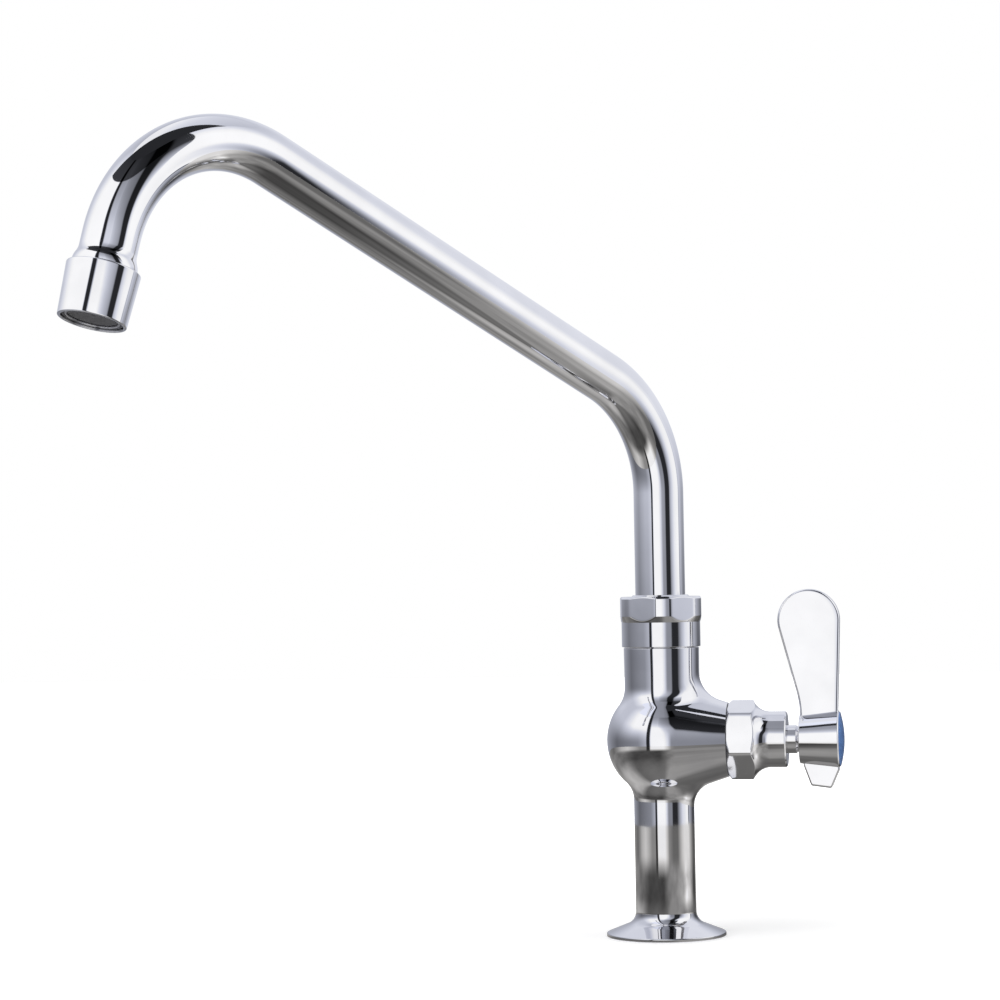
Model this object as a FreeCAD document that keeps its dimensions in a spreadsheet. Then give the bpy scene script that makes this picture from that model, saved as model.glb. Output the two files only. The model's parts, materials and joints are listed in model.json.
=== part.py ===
import FreeCAD, Part
import math
import os
import Sketcher

# Single-hole bar faucet with a swinging gooseneck spout and a quarter-turn side valve.
# Millimetres. +Z is up, the origin is on the column's axis in the plane of the deck,
# the valve's axis runs along +X, and the lever stands upright (valve shut).

doc = FreeCAD.newDocument("bar_faucet")
sheet = doc.addObject("Spreadsheet::Sheet", "Sizes")

# ---------------------------------------------------------------- driving sizes

sizes = {
    # foot and column of the cast body
    "flange_diameter": 52.6,
    "flange_rim": 1.7,
    "flange_rise": 5.2,
    "column_diameter": 26.6,
    "foot_fillet": 6.0,
    "inlet_bore": 18.6,
    "inlet_depth": 18.0,
    "supply_bore": 11.0,
    "supply_drop": 30.0,
    "gasket_inner": 23.0,
    "gasket_outer": 34.0,
    "gasket_thickness": 1.8,
    # bulb, side boss and neck of the cast body
    "valve_height": 86.0,
    "bulb_diameter": 49.0,
    "boss_diameter": 32.6,
    "boss_end": 29.0,
    "neck_diameter": 33.0,
    "neck_waist_rise": 26.0,
    "neck_top_diameter": 33.2,
    "neck_rise": 41.0,
    "neck_fillet": 7.0,
    "column_fillet": 6.5,
    "spigot_diameter": 29.0,
    "spigot_height": 11.0,
    "spout_bore": 23.0,
    "spout_bore_depth": 21.0,
    "outlet_bore": 10.4,
    # waterway from the supply bore round to the seat
    "seat_x": -6.0,
    "seat_port": 9.0,
    "seat_wall": 4.0,
    "inlet_pocket": 13.0,
    "inlet_pocket_setback": 8.5,
    "slant_bore": 7.6,
    # spout nut
    "nut_gap": 0.25,
    "nut_skirt_diameter": 34.7,
    "nut_skirt": 10.9,
    "nut_flats": 35.2,
    "nut_corner": 37.4,
    "nut_hexagon": 11.2,
    "nut_lower_chamfer": 2.6,
    "nut_top_chamfer": 0.9,
    "nut_top_chamfer_width": 1.44,
    "nut_top_wall": 5.3,
    "nut_lip": 0.7,
    "nut_lip_wall": 0.8,
    "nut_angle": 40.0,
    "thread_gap": 0.15,
    # swinging joint of the spout
    "slip_washer": 1.0,
    "ferrule_shoulder": 27.8,
    "ferrule_foot_gap": 1.5,
    "ferrule_bore": 16.0,
    "ferrule_tail": 9.0,
    "ring_groove": 2.4,
    "ring_groove_depth": 1.8,
    "ring_rise": 6.0,
    "ring_spacing": 7.0,
    "ring_gap": 0.05,
    "running_gap": 0.08,
    "slide_gap": 0.05,
    "clear_gap": 0.3,
    "braze_gap": 0.04,
    # spout tube
    "tube_diameter": 22.0,
    "tube_wall": 1.2,
    "bend_radius": 55.0,
    "riser_length": 52.0,
    "first_bend_angle": 66.2,
    "arm_length": 196.7,
    "second_bend_angle": 97.8,
    "tip_length": 12.8,
    "flare_length": 7.0,
    "flare_diameter": 25.0,
    "flare_step": 0.6,
    "tip_thread": 8.4,
    "tip_thread_diameter": 24.4,
    "spout_angle": 232.0,
    # aerator
    "collar_length": 21.0,
    "collar_top_diameter": 28.4,
    "collar_mouth_diameter": 26.4,
    "collar_chamfer": 0.8,
    "collar_bore": 23.8,
    "collar_ledge": 9.4,
    "core_flange": 1.0,
    "core_wall": 0.9,
    "core_recess": 0.9,
    "core_plate": 1.6,
    "jet_circle": 13.0,
    "jet_hole": 2.4,
    "jet_count": 8,
    "screen_thickness": 0.4,
    "screen_spacing": 1.4,
    "screen_ring": 0.7,
    "screen_ring_wall": 0.8,
    # bonnet nut
    "bonnet_seal": 0.4,
    "bonnet_flats": 31.0,
    "bonnet_corner": 35.4,
    "bonnet_face_diameter": 32.0,
    "bonnet_back_chamfer": 1.2,
    "bonnet_nose_diameter": 24.5,
    "bonnet_taper_radius": 8.0,
    "bonnet_taper_length": 18.1,
    "bonnet_nose_length": 7.3,
    "bonnet_end_chamfer": 0.6,
    "bonnet_angle": 16.0,
    "bonnet_thread": 23.7,
    "bonnet_bore": 15.2,
    "bonnet_mouth_depth": 4.0,
    # ceramic-disc cartridge
    "chamber_bore": 19.8,
    "bonnet_socket_depth": 10.0,
    "cartridge_diameter": 19.2,
    "cartridge_flange": 22.8,
    "cartridge_flange_thickness": 2.5,
    "cartridge_neck": 13.2,
    "cartridge_neck_length": 6.1,
    "cartridge_foot_gap": 1.0,
    "cartridge_bore": 14.2,
    "cartridge_shoulder_setback": 9.0,
    "window_gap": 0.25,
    "window_length": 4.8,
    "window_width": 8.0,
    "body_ring_setback": 5.0,
    "seal_thickness": 2.5,
    "seal_inner": 9.0,
    "disc_thickness": 3.0,
    "disc_gap": 0.05,
    "disc_play": 0.1,
    "port_inner_radius": 2.2,
    "port_outer_radius": 5.6,
    "port_half_angle": 38.0,
    "disc_lug": 3.0,
    "disc_lug_reach": 8.6,
    # stem
    "stem_diameter": 9.04,
    "stem_collar": 1.15,
    "stem_collar_diameter": 13.8,
    "thrust_washer": 1.0,
    "tongue_width": 4.0,
    "tongue_height": 12.4,
    "tongue_depth": 1.3,
    "stem_ring_setback": 5.0,
    "stem_ring_spacing": 5.5,
    "stem_ring_groove": 2.0,
    "stem_ring_groove_depth": 1.3,
    "clip_thickness": 0.8,
    "clip_diameter": 12.0,
    "clip_groove_depth": 0.8,
    "clip_mouth": 6.0,
    "stem_tail_diameter": 8.0,
    "stem_square": 6.0,
    "square_setback": 3.0,
    "stem_seat_depth": 6.3,
    "stem_screw_depth": 12.0,
    "screw_diameter": 4.0,
    "screw_head_diameter": 7.6,
    "screw_head": 2.6,
    "screw_chamfer": 0.8,
    "screw_end_gap": 1.0,
    "screw_slot": 1.0,
    "screw_slot_depth": 1.1,
    # lever handle
    "handle_neck_diameter": 12.4,
    "handle_neck_reach": 2.8,
    "hub_gap": 5.4,
    "hub_length": 17.4,
    "hub_start_diameter": 21.2,
    "hub_end_diameter": 25.0,
    "hub_chamfer": 0.5,
    "neck_groove": 0.6,
    "neck_groove_depth": 0.7,
    "neck_round": 0.9,
    "cap_recess_diameter": 19.2,
    "hub_web": 2.5,
    "cap_diameter": 23.8,
    "cap_edge": 0.4,
    "cap_dome": 1.7,
    "cap_skirt": 5.0,
    "cap_skirt_wall": 1.2,
    "cap_gap": 0.1,
    "blade_thickness": 5.6,
    "blade_edge_round": 1.8,
    "tail_edge_round": 0.8,
    "blade_tip_setback": 4.9,
    "blade_tip_rise": 52.0,
    "blade_tip_radius": 13.6,
    "blade_back_setback": 0.4,
    "blade_back_rise": 10.0,
    "blade_back_radius": 45.0,
    "blade_front_inset": 0.5,
    "tail_back_setback": 1.6,
    "tail_back_drop": 11.5,
    "tail_foot_back_setback": 4.7,
    "tail_foot_back_drop": 20.2,
    "tail_foot_front_inset": 3.7,
    "tail_foot_front_drop": 21.4,
    "tail_front_inset": 0.1,
    "tail_front_drop": 13.2,
    # how far cutting outlines run past what they cut
    "milling_clearance": 2.0,
    "cut_overrun": 0.2,
}


class Size:
    """A size with its present value and the sheet expression that drives it."""

    def __init__(self, value, text):
        self.value = value
        self.text = text

    def __add__(self, other):
        other = as_size(other)
        return Size(self.value + other.value, f"({self.text} + {other.text})")

    def __sub__(self, other):
        other = as_size(other)
        return Size(self.value - other.value, f"({self.text} - {other.text})")

    def __mul__(self, other):
        other = as_size(other)
        return Size(self.value * other.value, f"({self.text} * {other.text})")

    def __truediv__(self, other):
        other = as_size(other)
        return Size(self.value / other.value, f"({self.text} / {other.text})")

    def __neg__(self):
        return Size(-self.value, f"(0 - {self.text})")


def as_size(number):
    return number if isinstance(number, Size) else Size(float(number), repr(float(number)))


def sine(angle):
    return Size(math.sin(math.radians(angle.value)), f"sin({angle.text} * 1 deg)")


def cosine(angle):
    return Size(math.cos(math.radians(angle.value)), f"cos({angle.text} * 1 deg)")


def root(size):
    return Size(math.sqrt(size.value), f"sqrt({size.text})")


class Dimensions:
    """The sheet's cells as Size values, one attribute for each alias."""

    row = 0

    def put(self, alias, content, value):
        self.row += 1
        sheet.set(f"A{self.row}", alias)
        sheet.set(f"B{self.row}", content)
        sheet.setAlias(f"B{self.row}", alias)
        setattr(self, alias, Size(value, f"{sheet.Name}.{alias}"))

    def derive(self, alias, size):
        """Adds a cell whose content is worked out from other cells."""
        self.put(alias, f"={size.text.replace(sheet.Name + '.', '')}", size.value)


d = Dimensions()
for alias, number in sizes.items():
    d.put(alias, str(number), number)

# radii and stations that several pieces share
d.derive("column_radius", d.column_diameter / 2)
d.derive("supply_top", d.valve_height - d.supply_drop)
d.derive("neck_waist", d.valve_height + d.neck_waist_rise)
d.derive("neck_top", d.valve_height + d.neck_rise)
d.derive("inlet_pocket_x", d.seat_x - d.inlet_pocket_setback)
d.derive("spigot_radius", d.spigot_diameter / 2)
d.derive("spigot_top", d.neck_top + d.spigot_height)
d.derive("spout_bore_radius", d.spout_bore / 2)
d.derive("spout_bore_floor", d.spigot_top - d.spout_bore_depth)
d.derive("tube_radius", d.tube_diameter / 2)
d.derive("tube_inner_radius", d.tube_radius - d.tube_wall)
d.derive("nut_bottom", d.neck_top + d.nut_gap)
d.derive("nut_hexagon_bottom", d.nut_bottom + d.nut_skirt)
d.derive("nut_top", d.nut_hexagon_bottom + d.nut_hexagon)
d.derive("nut_thread_radius", d.spigot_radius + d.thread_gap)
d.derive("nut_bore_radius", d.tube_radius + d.clear_gap)
d.derive("nut_ceiling", d.nut_top - d.nut_top_wall)
d.derive("shoulder_bottom", d.spigot_top + d.slip_washer + d.slide_gap)
d.derive("shoulder_top", d.nut_ceiling - d.slip_washer - d.slide_gap)
d.derive("land_radius", d.spout_bore_radius - d.running_gap)
d.derive("ferrule_bottom", d.spout_bore_floor + d.ferrule_foot_gap)
d.derive("riser_top", d.shoulder_top + d.riser_length)
d.derive("bend_sum", d.first_bend_angle + d.second_bend_angle)
d.derive("outlet_tilt", as_size(180) - d.bend_sum)
d.derive("end_length", d.tip_length + d.collar_length)
d.derive("first_bend_reach", d.bend_radius * (as_size(1) - cosine(d.first_bend_angle)))
d.derive("first_bend_rise", d.riser_top + d.bend_radius * sine(d.first_bend_angle))
d.derive("arm_reach", d.first_bend_reach + d.arm_length * sine(d.first_bend_angle))
d.derive("arm_rise", d.first_bend_rise + d.arm_length * cosine(d.first_bend_angle))
d.derive("crook_reach", d.arm_reach + d.bend_radius * (cosine(d.first_bend_angle) - cosine(d.bend_sum)))
d.derive("crook_rise", d.arm_rise + d.bend_radius * (sine(d.bend_sum) - sine(d.first_bend_angle)))
d.derive("mouth_reach", d.crook_reach + d.end_length * sine(d.bend_sum))
d.derive("mouth_rise", d.crook_rise + d.end_length * cosine(d.bend_sum))
d.derive("tube_end", d.collar_length + d.flare_length)
d.derive("tip_end", d.collar_length - d.tip_thread)
d.derive("tip_radius", d.tip_thread_diameter / 2)
d.derive("collar_thread_radius", d.tip_radius + d.thread_gap)
d.derive("collar_bore_radius", d.collar_bore / 2)
d.derive("core_radius", d.collar_bore_radius - d.clear_gap)
d.derive("core_inner_radius", d.core_radius - d.core_wall)
d.derive("core_top", d.collar_ledge + d.core_flange)
d.derive("bonnet_face", d.boss_end + d.bonnet_seal)
d.derive("bonnet_taper_end", d.bonnet_face + d.bonnet_taper_length)
d.derive("bonnet_end", d.bonnet_taper_end + d.bonnet_nose_length)
d.derive("cartridge_ledge", d.boss_end - d.bonnet_socket_depth)
d.derive("bonnet_tip", d.cartridge_ledge + d.cartridge_flange_thickness)
d.derive("bonnet_thread_radius", d.bonnet_thread / 2)
d.derive("chamber_radius", d.chamber_bore / 2)
d.derive("cartridge_radius", d.cartridge_diameter / 2)
d.derive("cartridge_bore_radius", d.cartridge_bore / 2)
d.derive("stem_radius", d.stem_diameter / 2)
d.derive("stem_guide_radius", d.stem_radius + d.running_gap)
d.derive("cartridge_start", d.seat_x + d.cartridge_foot_gap)
d.derive("cartridge_shoulder", d.cartridge_ledge - d.cartridge_shoulder_setback)
d.derive("cartridge_end", d.bonnet_tip + d.cartridge_neck_length)
d.derive("body_ring_x", d.cartridge_ledge - d.body_ring_setback)
d.derive("stem_ring_x", d.cartridge_shoulder + d.stem_ring_setback)
d.derive("seal_end", d.seat_x + d.seal_thickness)
d.derive("fixed_disc_end", d.seal_end + d.disc_thickness)
d.derive("turning_disc_start", d.fixed_disc_end + d.disc_gap)
d.derive("turning_disc_end", d.turning_disc_start + d.disc_thickness)
d.derive("window_start", d.turning_disc_end + d.window_gap)
d.derive("stem_collar_end", d.cartridge_shoulder - d.thrust_washer - d.slide_gap)
d.derive("stem_collar_start", d.stem_collar_end - d.stem_collar)
d.derive("tongue_start", d.turning_disc_end - d.tongue_depth + d.disc_gap)
d.derive("clip_start", d.cartridge_end + d.slide_gap)
d.derive("clip_end", d.clip_start + d.clip_thickness)
d.derive("tail_radius", d.stem_tail_diameter / 2)
d.derive("cap_recess_radius", d.cap_recess_diameter / 2)
d.derive("handle_neck_start", d.bonnet_end - d.handle_neck_reach)
d.derive("hub_start", d.bonnet_end + d.hub_gap)
d.derive("hub_end", d.hub_start + d.hub_length)
d.derive("stem_square_start", d.handle_neck_start + d.square_setback)
d.derive("stem_end", d.hub_start + d.stem_seat_depth)
d.derive("cap_recess_floor", d.stem_end + d.hub_web)
d.derive("blade_tip_x", d.hub_start + d.blade_tip_setback)
d.derive("blade_back_x", d.hub_start + d.blade_back_setback)
d.derive("blade_front_x", d.hub_end - d.blade_front_inset)
d.derive("tail_back_x", d.hub_start + d.tail_back_setback)
d.derive("tail_foot_back_x", d.hub_start + d.tail_foot_back_setback)
d.derive("tail_foot_front_x", d.hub_end - d.tail_foot_front_inset)
d.derive("tail_front_x", d.hub_end - d.tail_front_inset)

# ---------------------------------------------------------------- drawing helpers

# A frame says where a turned profile lies in its body's XZ plane and which axis it is turned about.
# Profiles about the column and the outlet are (radius, height); about the valve (station, radius).
# The level frame turns the hub's seam away from the blade that grows out of it.
column = {"axis": "V_Axis"}
valve = {"axis": "H_Axis", "lift": d.valve_height}
level_valve = {"axis": "H_Axis", "role": "XY_Plane", "out": d.valve_height}
outlet = {"axis": "V_Axis", "across": d.mouth_reach, "lift": d.mouth_rise, "turn": d.outlet_tilt}

pieces = []


def new_body(label, on_spout=False):
    body = doc.addObject("PartDesign::Body", label)
    body.Label = label
    if on_spout:
        turned_aside = FreeCAD.Rotation(FreeCAD.Vector(0, 0, 1), d.spout_angle.value)
        body.Placement = FreeCAD.Placement(FreeCAD.Vector(0, 0, 0), turned_aside)
        body.setExpression("Placement.Rotation.Angle", d.spout_angle.text)
    pieces.append(body)
    return body


def new_sketch(body, name, role="XZ_Plane", across=None, lift=None, out=None, turn=None):
    """A sketch on one of the body's own planes, moved and turned within it."""
    sketch = body.newObject("Sketcher::SketchObject", name)
    plane = next(item for item in body.Origin.OriginFeatures if item.Role == role)
    sketch.AttachmentSupport = [(plane, "")]
    sketch.MapMode = "FlatFace"
    for letter, shift in (("x", across), ("y", lift), ("z", out)):
        if shift is not None:
            sketch.setExpression(f"AttachmentOffset.Base.{letter}", shift.text)
    if turn is not None:
        start = FreeCAD.Rotation(FreeCAD.Vector(0, 0, 1), turn.value)
        sketch.AttachmentOffset = FreeCAD.Placement(FreeCAD.Vector(0, 0, 0), start)
        sketch.setExpression("AttachmentOffset.Rotation.Angle", turn.text)
    return sketch


def dimension(sketch, kind, geometry, point, size):
    """Ties a point's coordinate to a size, or to the sketch's axis where it is zero."""
    if isinstance(size, Size):
        index = sketch.addConstraint(Sketcher.Constraint(kind, -1, 1, geometry, point, size.value))
        sketch.setExpression(f"Constraints[{index}]", size.text)
    else:
        axis = -2 if kind == "DistanceX" else -1
        sketch.addConstraint(Sketcher.Constraint("PointOnObject", geometry, point, axis))


def set_radius(sketch, geometry, size):
    index = sketch.addConstraint(Sketcher.Constraint("Radius", geometry, size.value))
    sketch.setExpression(f"Constraints[{index}]", size.text)


def number(size):
    return size.value if isinstance(size, Size) else float(size)


def draw_edge(sketch, start, end, arc):
    """Adds a line, or an arc of a given radius that bends left or right on its way to end.

    Returns the geometry with the numbers of its first and last points.
    """
    a = FreeCAD.Vector(number(start[0]), number(start[1]), 0)
    b = FreeCAD.Vector(number(end[0]), number(end[1]), 0)
    if arc is None:
        return sketch.addGeometry(Part.LineSegment(a, b)), 1, 2
    radius, side = arc
    chord = b - a
    rise = math.sqrt(max(radius.value ** 2 - (chord.Length / 2) ** 2, 0.0))
    sign = 1 if side == "left" else -1
    across = FreeCAD.Vector(-chord.y, chord.x, 0).normalize()
    centre = a + chord * 0.5 + across * (sign * rise)
    first, last = (a, b) if side == "left" else (b, a)
    angles = [math.atan2(p.y - centre.y, p.x - centre.x) for p in (first, last)]
    if angles[1] <= angles[0]:
        angles[1] += 2 * math.pi
    circle = Part.Circle(centre, FreeCAD.Vector(0, 0, 1), radius.value)
    geometry = sketch.addGeometry(Part.ArcOfCircle(circle, angles[0], angles[1]))
    return (geometry, 1, 2) if side == "left" else (geometry, 2, 1)


def draw(sketch, corners, closed=True):
    """Draws an outline through corners (x, y) or (x, y, (radius, side)), all of it driven by sizes."""
    count = len(corners) if closed else len(corners) - 1
    edges = []
    for i in range(count):
        corner = corners[i]
        arc = corner[2] if len(corner) > 2 else None
        edges.append(draw_edge(sketch, corner, corners[(i + 1) % len(corners)], arc))
        if arc is not None:
            set_radius(sketch, edges[-1][0], arc[0])
    for i, (geometry, first, last) in enumerate(edges):
        if closed or i + 1 < count:
            following = edges[(i + 1) % count]
            sketch.addConstraint(Sketcher.Constraint("Coincident", geometry, last, following[0], following[1]))
        dimension(sketch, "DistanceX", geometry, first, corners[i][0])
        dimension(sketch, "DistanceY", geometry, first, corners[i][1])
    if not closed:
        geometry, _, last = edges[-1]
        dimension(sketch, "DistanceX", geometry, last, corners[-1][0])
        dimension(sketch, "DistanceY", geometry, last, corners[-1][1])


def draw_circle(sketch, x, y, radius):
    centre = FreeCAD.Vector(number(x), number(y), 0)
    geometry = sketch.addGeometry(Part.Circle(centre, FreeCAD.Vector(0, 0, 1), radius.value))
    dimension(sketch, "DistanceX", geometry, 3, x)
    dimension(sketch, "DistanceY", geometry, 3, y)
    set_radius(sketch, geometry, radius)


def turn_profile(body, name, corners, frame, cut=False):
    """Turns a profile about its frame's axis, as new material or as a groove."""
    place = {key: value for key, value in frame.items() if key != "axis"}
    sketch = new_sketch(body, name + "_profile", **place)
    draw(sketch, corners)
    return turn_sketch(body, name, sketch, frame, cut)


def turn_sketch(body, name, sketch, frame, cut=False):
    feature = body.newObject("PartDesign::Groove" if cut else "PartDesign::Revolution", name)
    feature.Profile = sketch
    feature.ReferenceAxis = (sketch, [frame["axis"]])
    feature.Angle = 360
    return feature


def box_profile(frame, start, end, inner, outer):
    """The corners of a rectangular section between two stations and two radii."""
    if frame["axis"] == "H_Axis":
        return [(start, inner), (end, inner), (end, outer), (start, outer)]
    return [(inner, start), (outer, start), (outer, end), (inner, end)]


def ring(label, frame, start, end, inner, outer, on_spout=False):
    body = new_body(label, on_spout)
    turn_profile(body, label + "_ring", box_profile(frame, start, end, inner, outer), frame)
    return body


def o_ring(label, frame, station, middle_radius, section_radius, on_spout=False):
    body = new_body(label, on_spout)
    place = {key: value for key, value in frame.items() if key != "axis"}
    sketch = new_sketch(body, label + "_section", **place)
    spot = (station, middle_radius) if frame["axis"] == "H_Axis" else (middle_radius, station)
    draw_circle(sketch, spot[0], spot[1], section_radius)
    turn_sketch(body, label + "_turn", sketch, frame)
    return body


def cut_pocket(body, name, sketch, length=None, both_ways=False, along_normal=False):
    """Cuts a sketch through, or to a depth, away from its normal unless told otherwise."""
    pocket = body.newObject("PartDesign::Pocket", name)
    pocket.Profile = sketch
    if length is None:
        pocket.Type = "ThroughAll"
    else:
        pocket.setExpression("Length", length.text)
    pocket.Midplane = both_ways
    pocket.Reversed = along_normal
    return pocket


def hexagon(flats, first_angle):
    """The corners of a hexagon of a given width across flats, turned by an angle."""
    reach = flats / 2 * (1 / math.cos(math.radians(30)))
    turns = [first_angle + 60.0 * i for i in range(6)]
    return [(reach * cosine(turn), reach * sine(turn)) for turn in turns]


def mill_hexagon(body, name, role, flats, corner_diameter, angle, start, length):
    """Mills six flats on a turned blank, over a length that runs up the sketch's normal."""
    sketch = new_sketch(body, name + "_outline", role, out=start)
    draw(sketch, hexagon(flats, angle))
    draw_circle(sketch, 0, 0, corner_diameter / 2 + d.milling_clearance)
    return cut_pocket(body, name, sketch, length, along_normal=True)


def round_edges(body, name, radius, wanted):
    """Fillets the body's edges that a test picks."""
    doc.recompute()
    base = body.Tip
    names = [f"Edge{i + 1}" for i, edge in enumerate(base.Shape.Edges) if wanted(edge)]
    fillet = body.newObject("PartDesign::Fillet", name)
    fillet.Base = (base, names)
    fillet.setExpression("Radius", radius.text)
    return fillet


# ---------------------------------------------------------------- cast body

def build_body():
    body = new_body("faucet_body")
    flange_radius = d.flange_diameter / 2
    neck_radius = d.neck_diameter / 2
    turn_profile(body, "column", [
        (0, 0),
        (flange_radius, 0),
        (flange_radius, d.flange_rim),
        (d.column_radius, d.flange_rim + d.flange_rise),
        (d.column_radius, d.valve_height),
        (0, d.valve_height),
    ], column)
    turn_profile(body, "neck", [
        (0, d.valve_height),
        (neck_radius, d.valve_height),
        (neck_radius, d.neck_waist),
        (d.neck_top_diameter / 2, d.neck_top),
        (d.spigot_radius, d.neck_top),
        (d.spigot_radius, d.spigot_top),
        (0, d.spigot_top),
    ], column)
    build_bulb(body)
    round_edges(body, "neck_blend", d.neck_fillet, lambda edge: is_blend(edge, above=True))
    round_edges(body, "column_blend", d.column_fillet, lambda edge: is_blend(edge, above=False))
    round_edges(body, "foot_blend", d.foot_fillet, is_foot_corner)
    cut_spout_socket(body)
    cut_valve_chamber(body)
    cut_waterway(body)
    turn_profile(body, "gasket_groove", box_profile(
        column, 0, d.gasket_thickness, d.gasket_inner / 2, d.gasket_outer / 2), column, cut=True)


def build_bulb(body):
    """Half a sphere that runs into a cone at a tangent, ending in the boss for the bonnet."""
    sketch = new_sketch(body, "bulb_profile", lift=d.valve_height)
    radius = d.bulb_diameter / 2
    boss_radius = d.boss_diameter / 2
    reach = math.hypot(d.boss_end.value, boss_radius.value)
    lean = math.atan2(boss_radius.value, d.boss_end.value) + math.acos(radius.value / reach)
    touch = FreeCAD.Vector(radius.value * math.cos(lean), radius.value * math.sin(lean), 0)
    circle = Part.Circle(FreeCAD.Vector(0, 0, 0), FreeCAD.Vector(0, 0, 1), radius.value)
    dome = sketch.addGeometry(Part.ArcOfCircle(circle, lean, math.pi))
    corner = FreeCAD.Vector(d.boss_end.value, boss_radius.value, 0)
    foot = FreeCAD.Vector(d.boss_end.value, 0, 0)
    cone = sketch.addGeometry(Part.LineSegment(touch, corner))
    face = sketch.addGeometry(Part.LineSegment(corner, foot))
    axis = sketch.addGeometry(Part.LineSegment(foot, FreeCAD.Vector(-radius.value, 0, 0)))
    sketch.addConstraint([
        Sketcher.Constraint("Coincident", dome, 3, -1, 1),
        Sketcher.Constraint("Tangent", dome, 1, cone, 1),
        Sketcher.Constraint("Coincident", cone, 2, face, 1),
        Sketcher.Constraint("Coincident", face, 2, axis, 1),
        Sketcher.Constraint("Coincident", axis, 2, dome, 2),
        Sketcher.Constraint("PointOnObject", axis, 2, -1),
    ])
    set_radius(sketch, dome, radius)
    dimension(sketch, "DistanceX", face, 1, d.boss_end)
    dimension(sketch, "DistanceY", face, 1, boss_radius)
    dimension(sketch, "DistanceX", face, 2, d.boss_end)
    dimension(sketch, "DistanceY", face, 2, 0)
    turn_sketch(body, "bulb", sketch, valve)


def is_blend(edge, above):
    """Is this edge part of the seam where the neck, or the column, meets the bulb?"""
    box = edge.BoundBox
    waist = d.neck_diameter.value / 2 if above else d.column_radius.value
    outside = max(abs(box.XMin), abs(box.XMax), abs(box.YMin), abs(box.YMax))
    middle = (box.ZMin + box.ZMax) / 2
    high = d.valve_height.value < middle < d.neck_waist.value
    low = d.supply_top.value / 2 < middle < d.valve_height.value
    round_column = all(abs(math.hypot(v.X, v.Y) - waist) < 0.01 for v in edge.Vertexes)
    return (high if above else low) and round_column and outside < waist + 0.01 and box.DiagonalLength > 1


def is_foot_corner(edge):
    middle = edge.BoundBox
    height = d.flange_rim.value + d.flange_rise.value
    flat = abs(middle.ZMin - height) < 0.01 and abs(middle.ZMax - height) < 0.01
    return flat and isinstance(edge.Curve, Part.Circle)


def cut_spout_socket(body):
    """The bore that the spout's ferrule turns in, and the way up to it from the valve."""
    turn_profile(body, "spout_socket", [
        (0, d.spout_bore_floor),
        (d.spout_bore_radius, d.spout_bore_floor),
        (d.spout_bore_radius, d.spigot_top),
        (0, d.spigot_top),
    ], column, cut=True)
    turn_profile(body, "outlet_way", [
        (0, d.valve_height),
        (d.outlet_bore / 2, d.valve_height),
        (d.outlet_bore / 2, d.spout_bore_floor),
        (0, d.spout_bore_floor),
    ], column, cut=True)


def cut_valve_chamber(body):
    """The chamber for the cartridge, its seat port and the threaded mouth for the bonnet."""
    thread_radius = d.bonnet_thread_radius + d.thread_gap
    turn_profile(body, "valve_chamber", [
        (d.seat_x, 0),
        (d.seat_x, d.chamber_radius),
        (d.cartridge_ledge, d.chamber_radius),
        (d.cartridge_ledge, thread_radius),
        (d.boss_end, thread_radius),
        (d.boss_end, 0),
    ], valve, cut=True)
    turn_profile(body, "seat_way", [
        (d.inlet_pocket_x, 0),
        (d.inlet_pocket_x, d.seat_port / 2),
        (d.seat_x, d.seat_port / 2),
        (d.seat_x, 0),
    ], valve, cut=True)


def cut_waterway(body):
    """The threaded inlet, the supply bore up the column, and the slant and pocket behind the seat."""
    turn_profile(body, "inlet", [
        (0, 0),
        (d.inlet_bore / 2, 0),
        (d.inlet_bore / 2, d.inlet_depth),
        (0, d.inlet_depth),
    ], column, cut=True)
    turn_profile(body, "supply_way", [
        (0, d.inlet_depth),
        (d.supply_bore / 2, d.inlet_depth),
        (d.supply_bore / 2, d.supply_top),
        (0, d.supply_top + d.supply_bore / 2),
    ], column, cut=True)
    path = new_sketch(body, "slant_path")
    pocket_radius = d.inlet_pocket / 2
    draw(path, [(0, d.supply_top), (d.inlet_pocket_x, d.valve_height - pocket_radius / 2)], closed=False)
    section = new_sketch(body, "slant_section", "XY_Plane", out=d.supply_top)
    draw_circle(section, 0, 0, d.slant_bore / 2)
    slant = body.newObject("PartDesign::SubtractivePipe", "slant_way")
    slant.Profile = section
    slant.Spine = (path, [])
    slant.Mode = "Fixed"
    pocket = new_sketch(body, "inlet_pocket_profile", lift=d.valve_height)
    draw(pocket, [
        (d.inlet_pocket_x - pocket_radius, 0, (pocket_radius, "right")),
        (d.inlet_pocket_x, pocket_radius),
        (d.seat_x - d.seat_wall, pocket_radius),
        (d.seat_x - d.seat_wall, 0),
    ])
    turn_sketch(body, "inlet_pocket_turn", pocket, valve, cut=True)


def build_foot_gasket():
    ring("foot_gasket", column, 0, d.gasket_thickness,
         d.gasket_inner / 2 + d.cap_gap, d.gasket_outer / 2 - d.cap_gap)


# ---------------------------------------------------------------- swinging joint

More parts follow.
